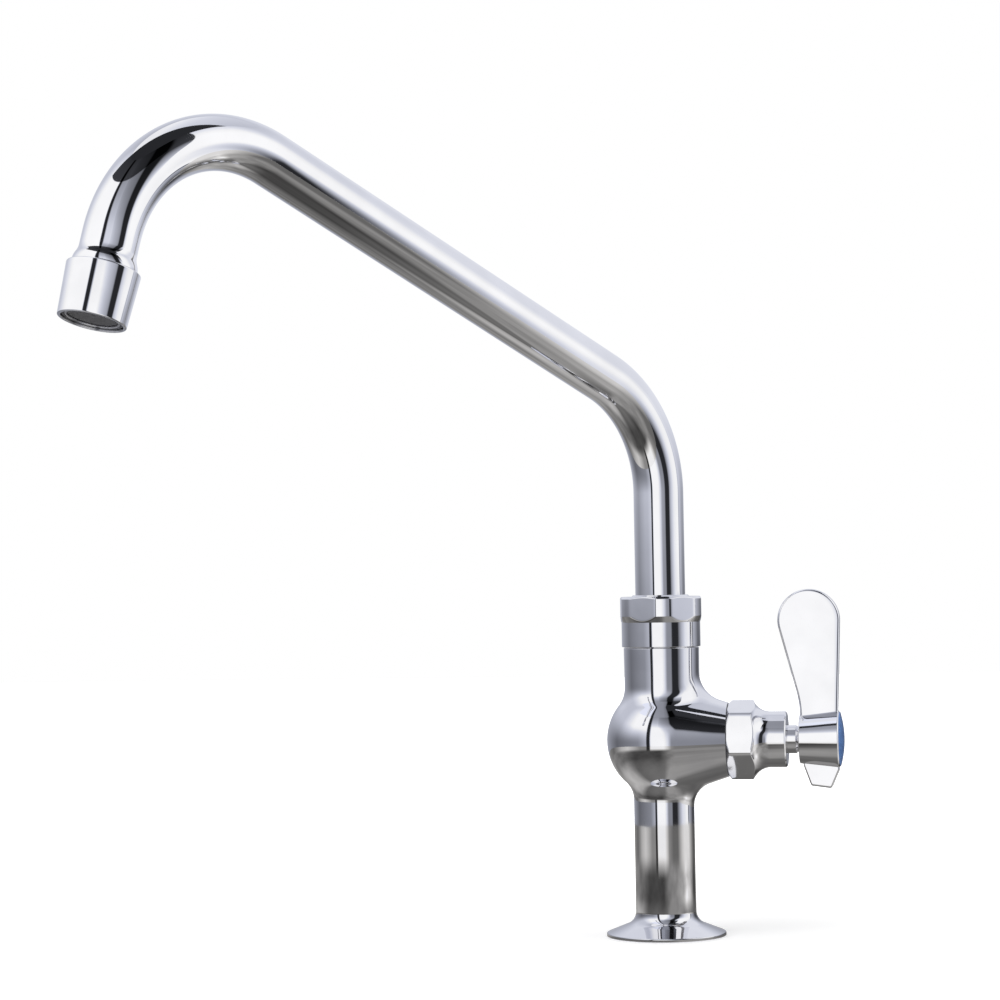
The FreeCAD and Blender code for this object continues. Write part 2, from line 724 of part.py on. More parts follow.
def build_spout_nut():
    body = new_body("spout_nut")
    corner_radius = d.nut_corner / 2
    skirt_radius = d.nut_skirt_diameter / 2
    lip_radius = d.nut_bore_radius + d.nut_lip_wall
    turn_profile(body, "nut_blank", [
        (d.nut_thread_radius, d.nut_bottom),
        (skirt_radius, d.nut_bottom),
        (skirt_radius, d.nut_hexagon_bottom),
        (corner_radius, d.nut_hexagon_bottom + d.nut_lower_chamfer),
        (corner_radius, d.nut_top - d.nut_top_chamfer),
        (corner_radius - d.nut_top_chamfer_width, d.nut_top),
        (lip_radius + d.nut_lip, d.nut_top),
        (lip_radius, d.nut_top + d.nut_lip),
        (d.nut_bore_radius, d.nut_top + d.nut_lip),
        (d.nut_bore_radius, d.nut_ceiling),
        (d.nut_thread_radius, d.nut_ceiling),
    ], column)
    mill_hexagon(body, "nut_flats_cut", "XY_Plane", d.nut_flats, d.nut_corner, d.nut_angle,
                 d.nut_hexagon_bottom, d.nut_hexagon)


def build_slip_washers():
    outer = d.nut_thread_radius - d.clear_gap
    ring("lower_slip_washer", column, d.spigot_top, d.spigot_top + d.slip_washer,
         d.spout_bore_radius + d.clear_gap, outer)
    ring("upper_slip_washer", column, d.nut_ceiling - d.slip_washer, d.nut_ceiling,
         d.nut_bore_radius, outer)


def ferrule_ring_station(i):
    return d.ferrule_bottom + d.ring_rise + d.ring_spacing * i


def build_ferrule():
    """The brazed end of the spout: a land with two ring grooves, a shoulder and a tail in the tube."""
    body = new_body("spout_ferrule", on_spout=True)
    bore_radius = d.ferrule_bore / 2
    tail_radius = d.tube_inner_radius - d.braze_gap
    turn_profile(body, "ferrule_blank", [
        (bore_radius, d.ferrule_bottom),
        (d.land_radius, d.ferrule_bottom),
        (d.land_radius, d.shoulder_bottom),
        (d.ferrule_shoulder / 2, d.shoulder_bottom),
        (d.ferrule_shoulder / 2, d.shoulder_top),
        (tail_radius, d.shoulder_top),
        (tail_radius, d.shoulder_top + d.ferrule_tail),
        (bore_radius, d.shoulder_top + d.ferrule_tail),
    ], column)
    for i in range(2):
        middle = ferrule_ring_station(i)
        turn_profile(body, f"ring_groove_{i + 1}", box_profile(
            column, middle - d.ring_groove / 2, middle + d.ring_groove / 2,
            d.land_radius - d.ring_groove_depth, d.land_radius), column, cut=True)


def build_spout_rings():
    floor = d.land_radius - d.ring_groove_depth
    section = (d.spout_bore_radius - d.ring_gap - floor) / 2
    for i in range(2):
        o_ring(f"spout_o_ring_{i + 1}", column, ferrule_ring_station(i), floor + section, section, on_spout=True)


# ---------------------------------------------------------------- spout tube

def build_tube():
    body = new_body("spout_tube", on_spout=True)
    path = new_sketch(body, "tube_path")
    straight_end = d.tip_length - d.flare_length
    draw(path, [
        (0, d.shoulder_top),
        (0, d.riser_top, (d.bend_radius, "right")),
        (d.first_bend_reach, d.first_bend_rise),
        (d.arm_reach, d.arm_rise, (d.bend_radius, "right")),
        (d.crook_reach, d.crook_rise),
        (d.crook_reach + straight_end * sine(d.bend_sum), d.crook_rise + straight_end * cosine(d.bend_sum)),
    ], closed=False)
    section = new_sketch(body, "tube_section", "XY_Plane", out=d.shoulder_top)
    draw_circle(section, 0, 0, d.tube_radius)
    draw_circle(section, 0, 0, d.tube_inner_radius)
    tube = body.newObject("PartDesign::AdditivePipe", "bent_tube")
    tube.Profile = section
    tube.Spine = (path, [])
    # The flare is an S of two equal arcs, each taking half of its rise and half of its swell.
    swell = d.flare_diameter / 2
    widening = swell - d.tube_radius
    rise = d.flare_length - d.flare_step
    curve = (rise * rise + widening * widening) / (widening * 4)
    turn_profile(body, "flared_tip", [
        (d.tube_inner_radius, d.tube_end),
        (d.tube_radius, d.tube_end, (curve, "left")),
        (d.tube_radius + widening / 2, d.tube_end - rise / 2, (curve, "right")),
        (swell, d.collar_length + d.flare_step),
        (swell, d.collar_length),
        (d.tip_radius, d.collar_length),
        (d.tip_radius, d.tip_end),
        (d.tube_inner_radius, d.tip_end),
    ], outlet)


# ---------------------------------------------------------------- aerator

def build_aerator():
    housing = new_body("aerator_housing", on_spout=True)
    top_radius = d.collar_top_diameter / 2
    turn_profile(housing, "collar", [
        (d.collar_bore_radius, 0),
        (d.collar_mouth_diameter / 2 - d.collar_chamfer / 2, 0),
        (d.collar_mouth_diameter / 2, d.collar_chamfer / 2),
        (top_radius, d.collar_length - d.collar_chamfer),
        (top_radius - d.collar_chamfer, d.collar_length),
        (d.collar_thread_radius, d.collar_length),
        (d.collar_thread_radius, d.collar_ledge),
        (d.collar_bore_radius, d.collar_ledge),
    ], outlet)

    core = new_body("aerator_core", on_spout=True)
    flange_radius = d.collar_thread_radius - d.cap_gap
    turn_profile(core, "core_cup", [
        (0, d.core_top),
        (0, d.core_top - d.core_plate),
        (d.core_inner_radius, d.core_top - d.core_plate),
        (d.core_inner_radius, d.core_recess),
        (d.core_radius, d.core_recess),
        (d.core_radius, d.collar_ledge),
        (flange_radius, d.collar_ledge),
        (flange_radius, d.core_top),
    ], outlet)
    cut_jets(core)

    ring("aerator_washer", outlet, d.core_top, d.tip_end, d.tube_inner_radius,
         d.collar_thread_radius - d.cap_gap, on_spout=True)
    disc_radius = d.core_inner_radius - d.cap_gap
    ring("screen_ring", outlet, d.core_recess, d.core_recess + d.screen_ring,
         disc_radius - d.screen_ring_wall, disc_radius, on_spout=True)
    low = d.core_recess + d.screen_ring
    ring("outlet_screen", outlet, low, low + d.screen_thickness, 0, disc_radius, on_spout=True)
    high = low + d.screen_thickness + d.screen_spacing
    ring("inner_screen", outlet, high, high + d.screen_thickness, 0, disc_radius, on_spout=True)
    ring("screen_spacer", outlet, low + d.screen_thickness, high, disc_radius - d.screen_ring_wall,
         disc_radius, on_spout=True)


def cut_jets(core):
    """Jet holes on a circle through the core's plate, drilled along the outlet's axis."""
    sketch = core.newObject("Sketcher::SketchObject", "jet_circle")
    plane = next(item for item in core.Origin.OriginFeatures if item.Role == "XY_Plane")
    sketch.AttachmentSupport = [(plane, "")]
    sketch.MapMode = "FlatFace"
    lean = FreeCAD.Rotation(FreeCAD.Vector(0, 1, 0), -d.outlet_tilt.value)
    sketch.AttachmentOffset = FreeCAD.Placement(FreeCAD.Vector(0, 0, 0), lean)
    sketch.setExpression("AttachmentOffset.Rotation.Angle", d.outlet_tilt.text)
    sketch.setExpression("AttachmentOffset.Base.x", (d.mouth_reach - d.core_top * sine(d.outlet_tilt)).text)
    sketch.setExpression("AttachmentOffset.Base.z", (d.mouth_rise + d.core_top * cosine(d.outlet_tilt)).text)
    for i in range(sizes["jet_count"]):
        angle = as_size(360.0 * i / sizes["jet_count"])
        draw_circle(sketch, d.jet_circle / 2 * cosine(angle), d.jet_circle / 2 * sine(angle), d.jet_hole / 2)
    cut_pocket(core, "jets", sketch, d.core_plate + d.cut_overrun)


# ---------------------------------------------------------------- bonnet and cartridge

def build_bonnet():
    body = new_body("bonnet_nut")
    corner_radius = d.bonnet_corner / 2
    nose_radius = d.bonnet_nose_diameter / 2
    bore_radius = d.bonnet_bore / 2
    mouth_radius = d.handle_neck_diameter / 2 + d.clear_gap
    taper = d.bonnet_taper_radius
    drop = taper - (corner_radius - nose_radius)
    taper_start = d.bonnet_taper_end - root(taper * taper - drop * drop)
    turn_profile(body, "bonnet_blank", [
        (d.bonnet_tip, bore_radius),
        (d.bonnet_tip, d.bonnet_thread_radius),
        (d.bonnet_face, d.bonnet_thread_radius),
        (d.bonnet_face, d.bonnet_face_diameter / 2),
        (d.bonnet_face + d.bonnet_back_chamfer, corner_radius),
        (taper_start, corner_radius, (taper, "left")),
        (d.bonnet_taper_end, nose_radius),
        (d.bonnet_end - d.bonnet_end_chamfer, nose_radius),
        (d.bonnet_end, nose_radius - d.bonnet_end_chamfer),
        (d.bonnet_end, mouth_radius),
        (d.bonnet_end - d.bonnet_mouth_depth, mouth_radius),
        (d.bonnet_end - d.bonnet_mouth_depth, bore_radius),
    ], valve)
    sketch = new_sketch(body, "bonnet_flats_outline", "YZ_Plane", lift=d.valve_height, out=d.bonnet_face)
    draw(sketch, hexagon(d.bonnet_flats, d.bonnet_angle))
    draw_circle(sketch, 0, 0, corner_radius + d.milling_clearance)
    cut_pocket(body, "bonnet_flats_cut", sketch, d.bonnet_taper_end - d.bonnet_face, along_normal=True)
    ring("bonnet_seal_ring", valve, d.boss_end, d.bonnet_face,
         d.bonnet_thread_radius + d.clear_gap, d.bonnet_face_diameter / 2 - d.clear_gap)


def build_cartridge():
    body = new_body("cartridge_housing")
    flange_end = d.cartridge_ledge + d.cartridge_flange_thickness
    turn_profile(body, "cartridge_blank", [
        (d.cartridge_start, d.cartridge_bore_radius),
        (d.cartridge_start, d.cartridge_radius),
        (d.cartridge_ledge, d.cartridge_radius),
        (d.cartridge_ledge, d.cartridge_flange / 2),
        (flange_end, d.cartridge_flange / 2),
        (flange_end, d.cartridge_neck / 2),
        (d.cartridge_end, d.cartridge_neck / 2),
        (d.cartridge_end, d.stem_guide_radius),
        (d.cartridge_shoulder, d.stem_guide_radius),
        (d.cartridge_shoulder, d.cartridge_bore_radius),
    ], valve)
    floor = d.cartridge_radius - d.stem_ring_groove_depth
    turn_profile(body, "body_ring_groove", box_profile(
        valve, d.body_ring_x - d.stem_ring_groove / 2, d.body_ring_x + d.stem_ring_groove / 2,
        floor, d.cartridge_radius), valve, cut=True)
    windows = new_sketch(body, "window_outline", "XY_Plane", out=d.valve_height)
    half = d.window_width / 2
    window_end = d.window_start + d.window_length
    draw(windows, [(d.window_start, -half), (window_end, -half), (window_end, half), (d.window_start, half)])
    cut_pocket(body, "windows", windows, both_ways=True)
    keys = new_sketch(body, "key_outline", lift=d.valve_height)
    half_key = d.disc_lug / 2 + d.disc_play
    draw(keys, [
        (d.cartridge_start - d.cut_overrun, -half_key),
        (d.fixed_disc_end, -half_key),
        (d.fixed_disc_end, half_key),
        (d.cartridge_start - d.cut_overrun, half_key),
    ])
    cut_pocket(body, "key_slots", keys, both_ways=True)

    section = (d.chamber_radius - d.ring_gap - floor) / 2
    o_ring("cartridge_o_ring", valve, d.body_ring_x, floor + section, section)
    ring("seat_seal", valve, d.seat_x, d.seal_end, d.seal_inner / 2,
         d.cartridge_bore_radius - d.disc_play)
    ring("thrust_washer", valve, d.cartridge_shoulder - d.thrust_washer, d.cartridge_shoulder,
         d.stem_guide_radius + d.disc_play, d.cartridge_bore_radius - d.disc_play)


def port_outline(middle):
    """One butterfly port of a ceramic disc: a sector between two radii, about a middle angle."""
    low = as_size(middle) - d.port_half_angle
    high = as_size(middle) + d.port_half_angle
    inner, outer = d.port_inner_radius, d.port_outer_radius
    return [
        (inner * cosine(low), inner * sine(low)),
        (outer * cosine(low), outer * sine(low), (outer, "left")),
        (outer * cosine(high), outer * sine(high)),
        (inner * cosine(high), inner * sine(high), (inner, "right")),
    ]


def cut_ports(body, name, start, middle):
    for i in range(2):
        sketch = new_sketch(body, f"{name}_{i + 1}_outline", "YZ_Plane", lift=d.valve_height, out=start)
        draw(sketch, port_outline(middle + 180.0 * i))
        cut_pocket(body, f"{name}_{i + 1}", sketch, d.disc_thickness + d.cut_overrun, along_normal=True)


def build_discs():
    """Two lapped discs: the ports of the turning one stand a quarter turn from those of the fixed one."""
    disc_radius = d.cartridge_bore_radius - d.disc_play
    fixed = new_body("fixed_disc")
    turn_profile(fixed, "fixed_blank", box_profile(
        valve, d.seal_end, d.fixed_disc_end, 0, disc_radius), valve)
    lugs = new_sketch(fixed, "lug_outline", "YZ_Plane", lift=d.valve_height, out=d.seal_end)
    half = d.disc_lug / 2
    reach = d.disc_lug_reach
    draw(lugs, [(-reach, -half), (reach, -half), (reach, half), (-reach, half)])
    pad = fixed.newObject("PartDesign::Pad", "lugs")
    pad.Profile = lugs
    pad.setExpression("Length", (d.disc_thickness - d.disc_play).text)
    cut_ports(fixed, "fixed_port", d.seal_end, 90.0)

    turning = new_body("turning_disc")
    turn_profile(turning, "turning_blank", box_profile(
        valve, d.turning_disc_start, d.turning_disc_end, 0, disc_radius - d.disc_gap), valve)
    cut_ports(turning, "turning_port", d.turning_disc_start, 0.0)
    slot = new_sketch(turning, "drive_slot_outline", "YZ_Plane", lift=d.valve_height, out=d.turning_disc_end)
    half = d.tongue_width / 2 + d.disc_gap
    reach = d.tongue_height / 2 + d.disc_gap
    draw(slot, [(-half, -reach), (half, -reach), (half, reach), (-half, reach)])
    cut_pocket(turning, "drive_slot", slot, d.tongue_depth)


def build_stem():
    """The spindle: a tongue in the disc, a collar, a sealed shaft and a squared, tapped end."""
    body = new_body("valve_stem")
    guard = d.stem_collar_start
    turn_profile(body, "stem_blank", [
        (guard, 0),
        (guard, d.stem_collar_diameter / 2),
        (d.stem_collar_end, d.stem_collar_diameter / 2),
        (d.stem_collar_end, d.stem_radius),
        (d.clip_end + d.clear_gap, d.stem_radius),
        (d.clip_end + d.clear_gap, d.tail_radius),
        (d.stem_end, d.tail_radius),
        (d.stem_end, 0),
    ], valve)
    tongue = new_sketch(body, "tongue_outline", "YZ_Plane", lift=d.valve_height, out=d.tongue_start)
    half, reach = d.tongue_width / 2, d.tongue_height / 2
    draw(tongue, [(-half, -reach), (half, -reach), (half, reach), (-half, reach)])
    pad = body.newObject("PartDesign::Pad", "tongue")
    pad.Profile = tongue
    pad.setExpression("Length", (guard - d.tongue_start).text)
    for i in range(2):
        middle = d.stem_ring_x + d.stem_ring_spacing * i
        turn_profile(body, f"stem_groove_{i + 1}", box_profile(
            valve, middle - d.stem_ring_groove / 2, middle + d.stem_ring_groove / 2,
            d.stem_radius - d.stem_ring_groove_depth, d.stem_radius), valve, cut=True)
    turn_profile(body, "clip_groove", box_profile(
        valve, d.clip_start, d.clip_end, d.stem_radius - d.clip_groove_depth, d.stem_radius), valve, cut=True)
    square = new_sketch(body, "square_outline", "YZ_Plane", lift=d.valve_height, out=d.stem_square_start)
    half = d.stem_square / 2
    draw(square, [(-half, -half), (half, -half), (half, half), (-half, half)])
    draw_circle(square, 0, 0, d.tail_radius + d.milling_clearance)
    cut_pocket(body, "square_cut", square, d.stem_end - d.stem_square_start, along_normal=True)
    turn_profile(body, "screw_hole", box_profile(
        valve, d.stem_end - d.stem_screw_depth, d.stem_end, 0, d.screw_diameter / 2), valve, cut=True)

    floor = d.stem_radius - d.stem_ring_groove_depth
    section = (d.stem_guide_radius - d.ring_gap - floor) / 2
    for i in range(2):
        station = d.stem_ring_x + d.stem_ring_spacing * i
        o_ring(f"stem_o_ring_{i + 1}", valve, station, floor + section, section)
    build_clip()


def build_clip():
    """The open retaining clip behind the cartridge."""
    body = new_body("stem_clip")
    inner = d.stem_radius - d.clip_groove_depth
    thin = d.clip_thickness - d.slide_gap
    turn_profile(body, "clip_ring", box_profile(
        valve, d.clip_start, d.clip_start + thin, inner, d.clip_diameter / 2), valve)
    mouth = new_sketch(body, "clip_mouth_outline", "YZ_Plane", lift=d.valve_height, out=d.clip_start)
    half = d.clip_mouth / 2
    draw(mouth, [(-half, 0), (half, 0), (half, -d.clip_diameter), (-half, -d.clip_diameter)])
    cut_pocket(body, "clip_mouth", mouth, d.clip_thickness, along_normal=True)


# ---------------------------------------------------------------- lever handle

def build_handle():
    body = new_body("lever_handle")
    build_blade(body)
    neck_radius = d.handle_neck_diameter / 2
    shaft_radius = d.tail_radius + d.clear_gap / 2
    turn_profile(body, "hub", [
        (d.handle_neck_start, 0),
        (d.handle_neck_start, neck_radius),
        (d.hub_start - d.neck_groove - d.neck_round, neck_radius),
        (d.hub_start - d.neck_groove, neck_radius - d.neck_groove_depth),
        (d.hub_start, neck_radius - d.neck_groove_depth),
        (d.hub_start, d.hub_start_diameter / 2),
        (d.hub_end - d.hub_chamfer, d.hub_end_diameter / 2),
        (d.hub_end, d.hub_end_diameter / 2 - d.hub_chamfer),
        (d.hub_end, 0),
    ], level_valve)
    turn_profile(body, "cap_recess", box_profile(
        valve, d.cap_recess_floor, d.hub_end, 0, d.cap_recess_radius), valve, cut=True)
    turn_profile(body, "shaft_bore", box_profile(
        valve, d.handle_neck_start, d.stem_square_start, 0, shaft_radius), valve, cut=True)
    socket = new_sketch(body, "socket_outline", "YZ_Plane", lift=d.valve_height, out=d.stem_square_start)
    half = d.stem_square / 2 + d.cap_gap
    draw(socket, [(-half, -half), (half, -half), (half, half), (-half, half)])
    cut_pocket(body, "square_socket", socket, d.stem_end + d.clear_gap - d.stem_square_start,
               along_normal=True)
    turn_profile(body, "screw_clearance", box_profile(
        valve, d.stem_end, d.cap_recess_floor, 0, d.screw_diameter / 2 + d.cap_gap), valve, cut=True)


def build_blade(body):
    """The flat lever above the hub and the short faceted tail below it, as one rounded plate."""
    sketch = new_sketch(body, "blade_outline", lift=d.valve_height)
    tip_x, tip_z, tip_r = d.blade_tip_x.value, d.blade_tip_rise.value, d.blade_tip_radius.value
    back_x, back_z, back_r = d.blade_back_x.value, d.blade_back_rise.value, d.blade_back_radius.value
    up = FreeCAD.Vector(0, 0, 1)
    across, rise = tip_x - back_x + back_r, tip_z - back_z
    lean = math.atan2(rise, across) - math.acos((back_r + tip_r) / math.hypot(across, rise))
    left = FreeCAD.Vector(tip_x - tip_r * math.cos(lean), tip_z - tip_r * math.sin(lean), 0)
    right = FreeCAD.Vector(tip_x + tip_r, tip_z, 0)
    bend = FreeCAD.Vector(back_x - back_r + back_r * math.cos(lean), back_z + back_r * math.sin(lean), 0)
    corners = [
        (d.blade_back_x, d.blade_back_rise),
        (d.tail_back_x, -d.tail_back_drop),
        (d.tail_foot_back_x, -d.tail_foot_back_drop),
        (d.tail_foot_front_x, -d.tail_foot_front_drop),
        (d.tail_front_x, -d.tail_front_drop),
        (d.blade_front_x, d.blade_back_rise),
    ]
    spots = [FreeCAD.Vector(number(x), number(z), 0) for x, z in corners]
    circle = Part.Circle(FreeCAD.Vector(tip_x, tip_z, 0), up, tip_r)
    tip = sketch.addGeometry(Part.ArcOfCircle(circle, 0.0, math.pi + lean))
    back = sketch.addGeometry(Part.LineSegment(left, bend))
    circle = Part.Circle(FreeCAD.Vector(back_x - back_r, back_z, 0), up, back_r)
    sweep = sketch.addGeometry(Part.ArcOfCircle(circle, 0.0, lean))
    sides = [sketch.addGeometry(Part.LineSegment(a, b)) for a, b in zip(spots, spots[1:])]
    front = sketch.addGeometry(Part.LineSegment(spots[-1], right))
    sketch.addConstraint([
        Sketcher.Constraint("Tangent", tip, 2, back, 1),
        Sketcher.Constraint("Tangent", back, 2, sweep, 2),
        Sketcher.Constraint("Coincident", sweep, 1, sides[0], 1),
        Sketcher.Constraint("Horizontal", sweep, 3, sweep, 1),
        Sketcher.Constraint("Tangent", front, 2, tip, 1),
    ])
    for first, second in zip(sides, sides[1:] + [front]):
        sketch.addConstraint(Sketcher.Constraint("Coincident", first, 2, second, 1))
    for geometry, (x, z) in zip(sides + [front], corners):
        dimension(sketch, "DistanceX", geometry, 1, x)
        dimension(sketch, "DistanceY", geometry, 1, z)
    dimension(sketch, "DistanceX", tip, 3, d.blade_tip_x)
    dimension(sketch, "DistanceY", tip, 3, d.blade_tip_rise)
    set_radius(sketch, tip, d.blade_tip_radius)
    set_radius(sketch, sweep, d.blade_back_radius)
    plate = body.newObject("PartDesign::Pad", "blade")
    plate.Profile = sketch
    plate.Midplane = True
    plate.setExpression("Length", d.blade_thickness.text)
    round_edges(body, "blade_rounding", d.blade_edge_round, lambda edge: lies_on_face(edge, above=True))
    round_edges(body, "tail_rounding", d.tail_edge_round, lambda edge: lies_on_face(edge, above=False))


def lies_on_face(edge, above):
    """Is this edge part of the plate's flat outline, above the hub or in the tail below it?"""
    box = edge.BoundBox
    half = d.blade_thickness.value / 2
    flat = box.YMax - box.YMin < 0.01 and abs(abs(box.YMax) - half) < 0.01
    middle = edge.valueAt((edge.FirstParameter + edge.LastParameter) / 2).z - d.valve_height.value
    return flat and (middle > d.blade_back_rise.value if above else middle < -d.tail_back_drop.value)


def build_handle_screw():
    body = new_body("handle_screw")
    shank_radius = d.screw_diameter / 2 - d.slide_gap
    head_end = d.cap_recess_floor + d.screw_head
    turn_profile(body, "screw_blank", [
        (d.stem_end - d.stem_screw_depth + d.screw_end_gap, 0),
        (d.stem_end - d.stem_screw_depth + d.screw_end_gap, shank_radius),
        (d.cap_recess_floor, shank_radius),
        (d.cap_recess_floor, d.screw_head_diameter / 2),
        (head_end - d.screw_chamfer, d.screw_head_diameter / 2),
        (head_end, d.screw_head_diameter / 2 - d.screw_chamfer),
        (head_end, 0),
    ], valve)
    slot = new_sketch(body, "slot_outline", "YZ_Plane", lift=d.valve_height, out=head_end)
    half = d.screw_slot / 2
    reach = d.screw_head_diameter
    draw(slot, [(-reach, -half), (reach, -half), (reach, half), (-reach, half)])
    cut_pocket(body, "driver_slot", slot, d.screw_slot_depth)


def build_index_cap():
    """The domed cap that closes the hub: a thin dome over a skirt that snaps into the recess."""
    body = new_body("index_cap")
    rim = d.cap_diameter / 2
    skirt_radius = d.cap_recess_radius - d.cap_gap
    edge = d.hub_end + d.cap_edge
    dome = (rim * rim + d.cap_dome * d.cap_dome) / (d.cap_dome * 2)
    turn_profile(body, "cap_dome_turn", [
        (edge + d.cap_dome, 0),
        (d.hub_end - d.cap_edge, 0),
        (d.hub_end - d.cap_edge, skirt_radius - d.cap_skirt_wall),
        (d.hub_end - d.cap_skirt, skirt_radius - d.cap_skirt_wall),
        (d.hub_end - d.cap_skirt, skirt_radius),
        (d.hub_end, skirt_radius),
        (d.hub_end, rim),
        (edge, rim, (dome, "right")),
    ], valve)


build_body()
build_foot_gasket()
build_spout_nut()
build_slip_washers()
build_ferrule()
build_spout_rings()
build_tube()
build_aerator()
build_bonnet()
build_cartridge()
build_discs()
build_stem()
build_handle()
build_handle_screw()
build_index_cap()

# ---------------------------------------------------------------- check and write

doc.recompute()

for item in doc.Objects:
    broken = [word for word in item.State if word in ("Invalid", "Error")]
    if broken:
        raise RuntimeError(f"{item.Label} did not compute: {item.getStatusString()}")

os.makedirs("parts", exist_ok=True)
for piece in pieces:
    shape = piece.Shape
    if shape.isNull() or not shape.isValid():
        raise RuntimeError(f"{piece.Label} has no valid shape")
    if len(shape.Solids) != 1:
        raise RuntimeError(f"{piece.Label} has {len(shape.Solids)} solids, not one")
    print(f"{piece.Label}: {shape.Volume:.1f} mm3")

for piece in pieces:
    piece.Shape.exportStep(f"parts/{piece.Label}.step")
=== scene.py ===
import json
import math

import bmesh
import bpy
import numpy as np
from mathutils import Matrix, Vector

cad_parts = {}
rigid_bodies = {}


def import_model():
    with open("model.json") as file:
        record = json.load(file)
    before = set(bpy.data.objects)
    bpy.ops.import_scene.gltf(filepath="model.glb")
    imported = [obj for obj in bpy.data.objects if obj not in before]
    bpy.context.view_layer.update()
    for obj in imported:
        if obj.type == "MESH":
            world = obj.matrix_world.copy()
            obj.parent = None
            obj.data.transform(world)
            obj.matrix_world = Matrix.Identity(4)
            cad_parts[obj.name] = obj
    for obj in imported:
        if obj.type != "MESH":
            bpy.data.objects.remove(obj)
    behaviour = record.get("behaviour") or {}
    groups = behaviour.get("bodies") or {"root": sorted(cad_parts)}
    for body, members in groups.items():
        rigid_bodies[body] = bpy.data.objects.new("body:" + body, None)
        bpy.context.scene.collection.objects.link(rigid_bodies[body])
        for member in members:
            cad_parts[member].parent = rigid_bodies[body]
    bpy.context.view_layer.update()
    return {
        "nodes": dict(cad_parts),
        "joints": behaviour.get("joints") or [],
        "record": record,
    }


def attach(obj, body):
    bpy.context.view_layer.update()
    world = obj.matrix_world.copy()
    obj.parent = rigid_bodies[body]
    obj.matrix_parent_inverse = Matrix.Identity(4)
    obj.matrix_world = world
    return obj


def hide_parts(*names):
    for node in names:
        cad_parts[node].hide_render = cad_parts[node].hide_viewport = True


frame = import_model()
mm = 0.001
tiny = 1e-9
print("frame loaded:", len(frame["nodes"]), "nodes")


# Every piece below is a function worked out on a grid of rows and columns.
def fullTurn(count):
    return np.linspace(0, 2 * math.pi, count, endpoint=False)


def gridFaces(rows, columns, closeRows=False, closeColumns=True, first=0):
    # Four corners for each cell of a grid whose points are numbered row by row.
    rowStarts = np.arange(rows if closeRows else rows - 1)
    columnStarts = np.arange(columns if closeColumns else columns - 1)
    i, j = np.meshgrid(rowStarts, columnStarts, indexing="ij")
    nextRow, nextColumn = (i + 1) % rows, (j + 1) % columns
    corners = [i * columns + j, i * columns + nextColumn, nextRow * columns + nextColumn, nextRow * columns + j]
    return np.stack(corners, axis=-1).reshape(-1, 4) + first


def joinGrids(parts):
    # Stacks several (points, faces) pairs into one pair.
    points, faces, first = [], [], 0
    for partPoints, partFaces in parts:
        points.append(partPoints)
        faces.append(partFaces + first)
        first += len(partPoints)
    return np.concatenate(points), np.concatenate(faces)


def makePiece(name, points, faces, material, body, replaced=(), creaseAngle=32, mergeGap=1e-6):
    # Puts points (metres) and faces in a mesh, merges doubles, turns faces outward and hands it to its body.
    mesh = bpy.data.meshes.new(name)
    mesh.vertices.add(len(points))
    mesh.vertices.foreach_set("co", np.asarray(points, np.float32).ravel())
    mesh.loops.add(faces.size)
    mesh.loops.foreach_set("vertex_index", faces.astype(np.int32).ravel())
    mesh.polygons.add(len(faces))
    mesh.polygons.foreach_set("loop_start", np.arange(0, faces.size, faces.shape[1], dtype=np.int32))
    mesh.update(calc_edges=True)
    mesh.validate()
    piece = bpy.data.objects.new(name, mesh)
    bpy.context.scene.collection.objects.link(piece)
    cleanMesh(mesh, mergeGap)
    mesh.shade_smooth()
    mesh.set_sharp_from_angle(angle=math.radians(creaseAngle))
    mesh.materials.append(material)
    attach(piece, body)
    if replaced:
        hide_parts(*replaced)


def cleanMesh(mesh, mergeGap):
    edit = bmesh.new()
    edit.from_mesh(mesh)
    bmesh.ops.remove_doubles(edit, verts=edit.verts, dist=mergeGap)
    bmesh.ops.dissolve_degenerate(edit, dist=mergeGap, edges=edit.edges)
    bmesh.ops.recalc_face_normals(edit, faces=edit.faces)
    edit.to_mesh(mesh)
    edit.free()


def roundedLine(corners, closed=False, arcPoints=6, arcStep=0.5, spacing=2.0, edgeGap=0.12):
    # A polyline whose corners (a, b, radius) are rounded by arcs, with extra points beside each arc
    # so that flat stretches stay flat under smooth shading, and at a steady spacing along the rest.
    spots = np.array([corner[:2] for corner in corners], float)
    radii = np.array([corner[2] if len(corner) > 2 else 0.0 for corner in corners])
    count = len(spots)
    stretches = []
    for k in range(count):
        spot = spots[k]
        if (not closed and k in (0, count - 1)) or radii[k] <= 0:
            stretches.append(spot[None])
            continue
        back = spots[k - 1] - spot
        ahead = spots[(k + 1) % count] - spot
        back, ahead = back / np.linalg.norm(back), ahead / np.linalg.norm(ahead)
        halfAngle = math.acos(np.clip(back @ ahead, -1, 1)) / 2
        centre = spot + (back + ahead) / np.linalg.norm(back + ahead) * radii[k] / math.sin(halfAngle)
        start = spot + back * radii[k] / math.tan(halfAngle)
        end = spot + ahead * radii[k] / math.tan(halfAngle)
        first = math.atan2(*(start - centre)[::-1])
        turn = (math.atan2(*(end - centre)[::-1]) - first + math.pi) % (2 * math.pi) - math.pi
        steps = max(arcPoints, int(abs(turn) * radii[k] / arcStep))
        angles = first + turn * np.linspace(0, 1, steps + 1)
        stretches.append(centre + radii[k] * np.stack([np.cos(angles), np.sin(angles)], axis=1))
    line = [stretches[0]]
    for following in stretches[1:] + ([stretches[0][:1]] if closed else []):
        start, end = line[-1][-1], following[0]
        length = np.linalg.norm(end - start)
        gap = min(edgeGap, length / 4)
        places = np.linspace(gap, length - gap, max(2, int(length / spacing) + 1))
        if length > tiny:
            line.append(start + (end - start) * (places / length)[:, None])
        line.append(following)
    points = np.concatenate(line)
    return points[:-1] if closed else points


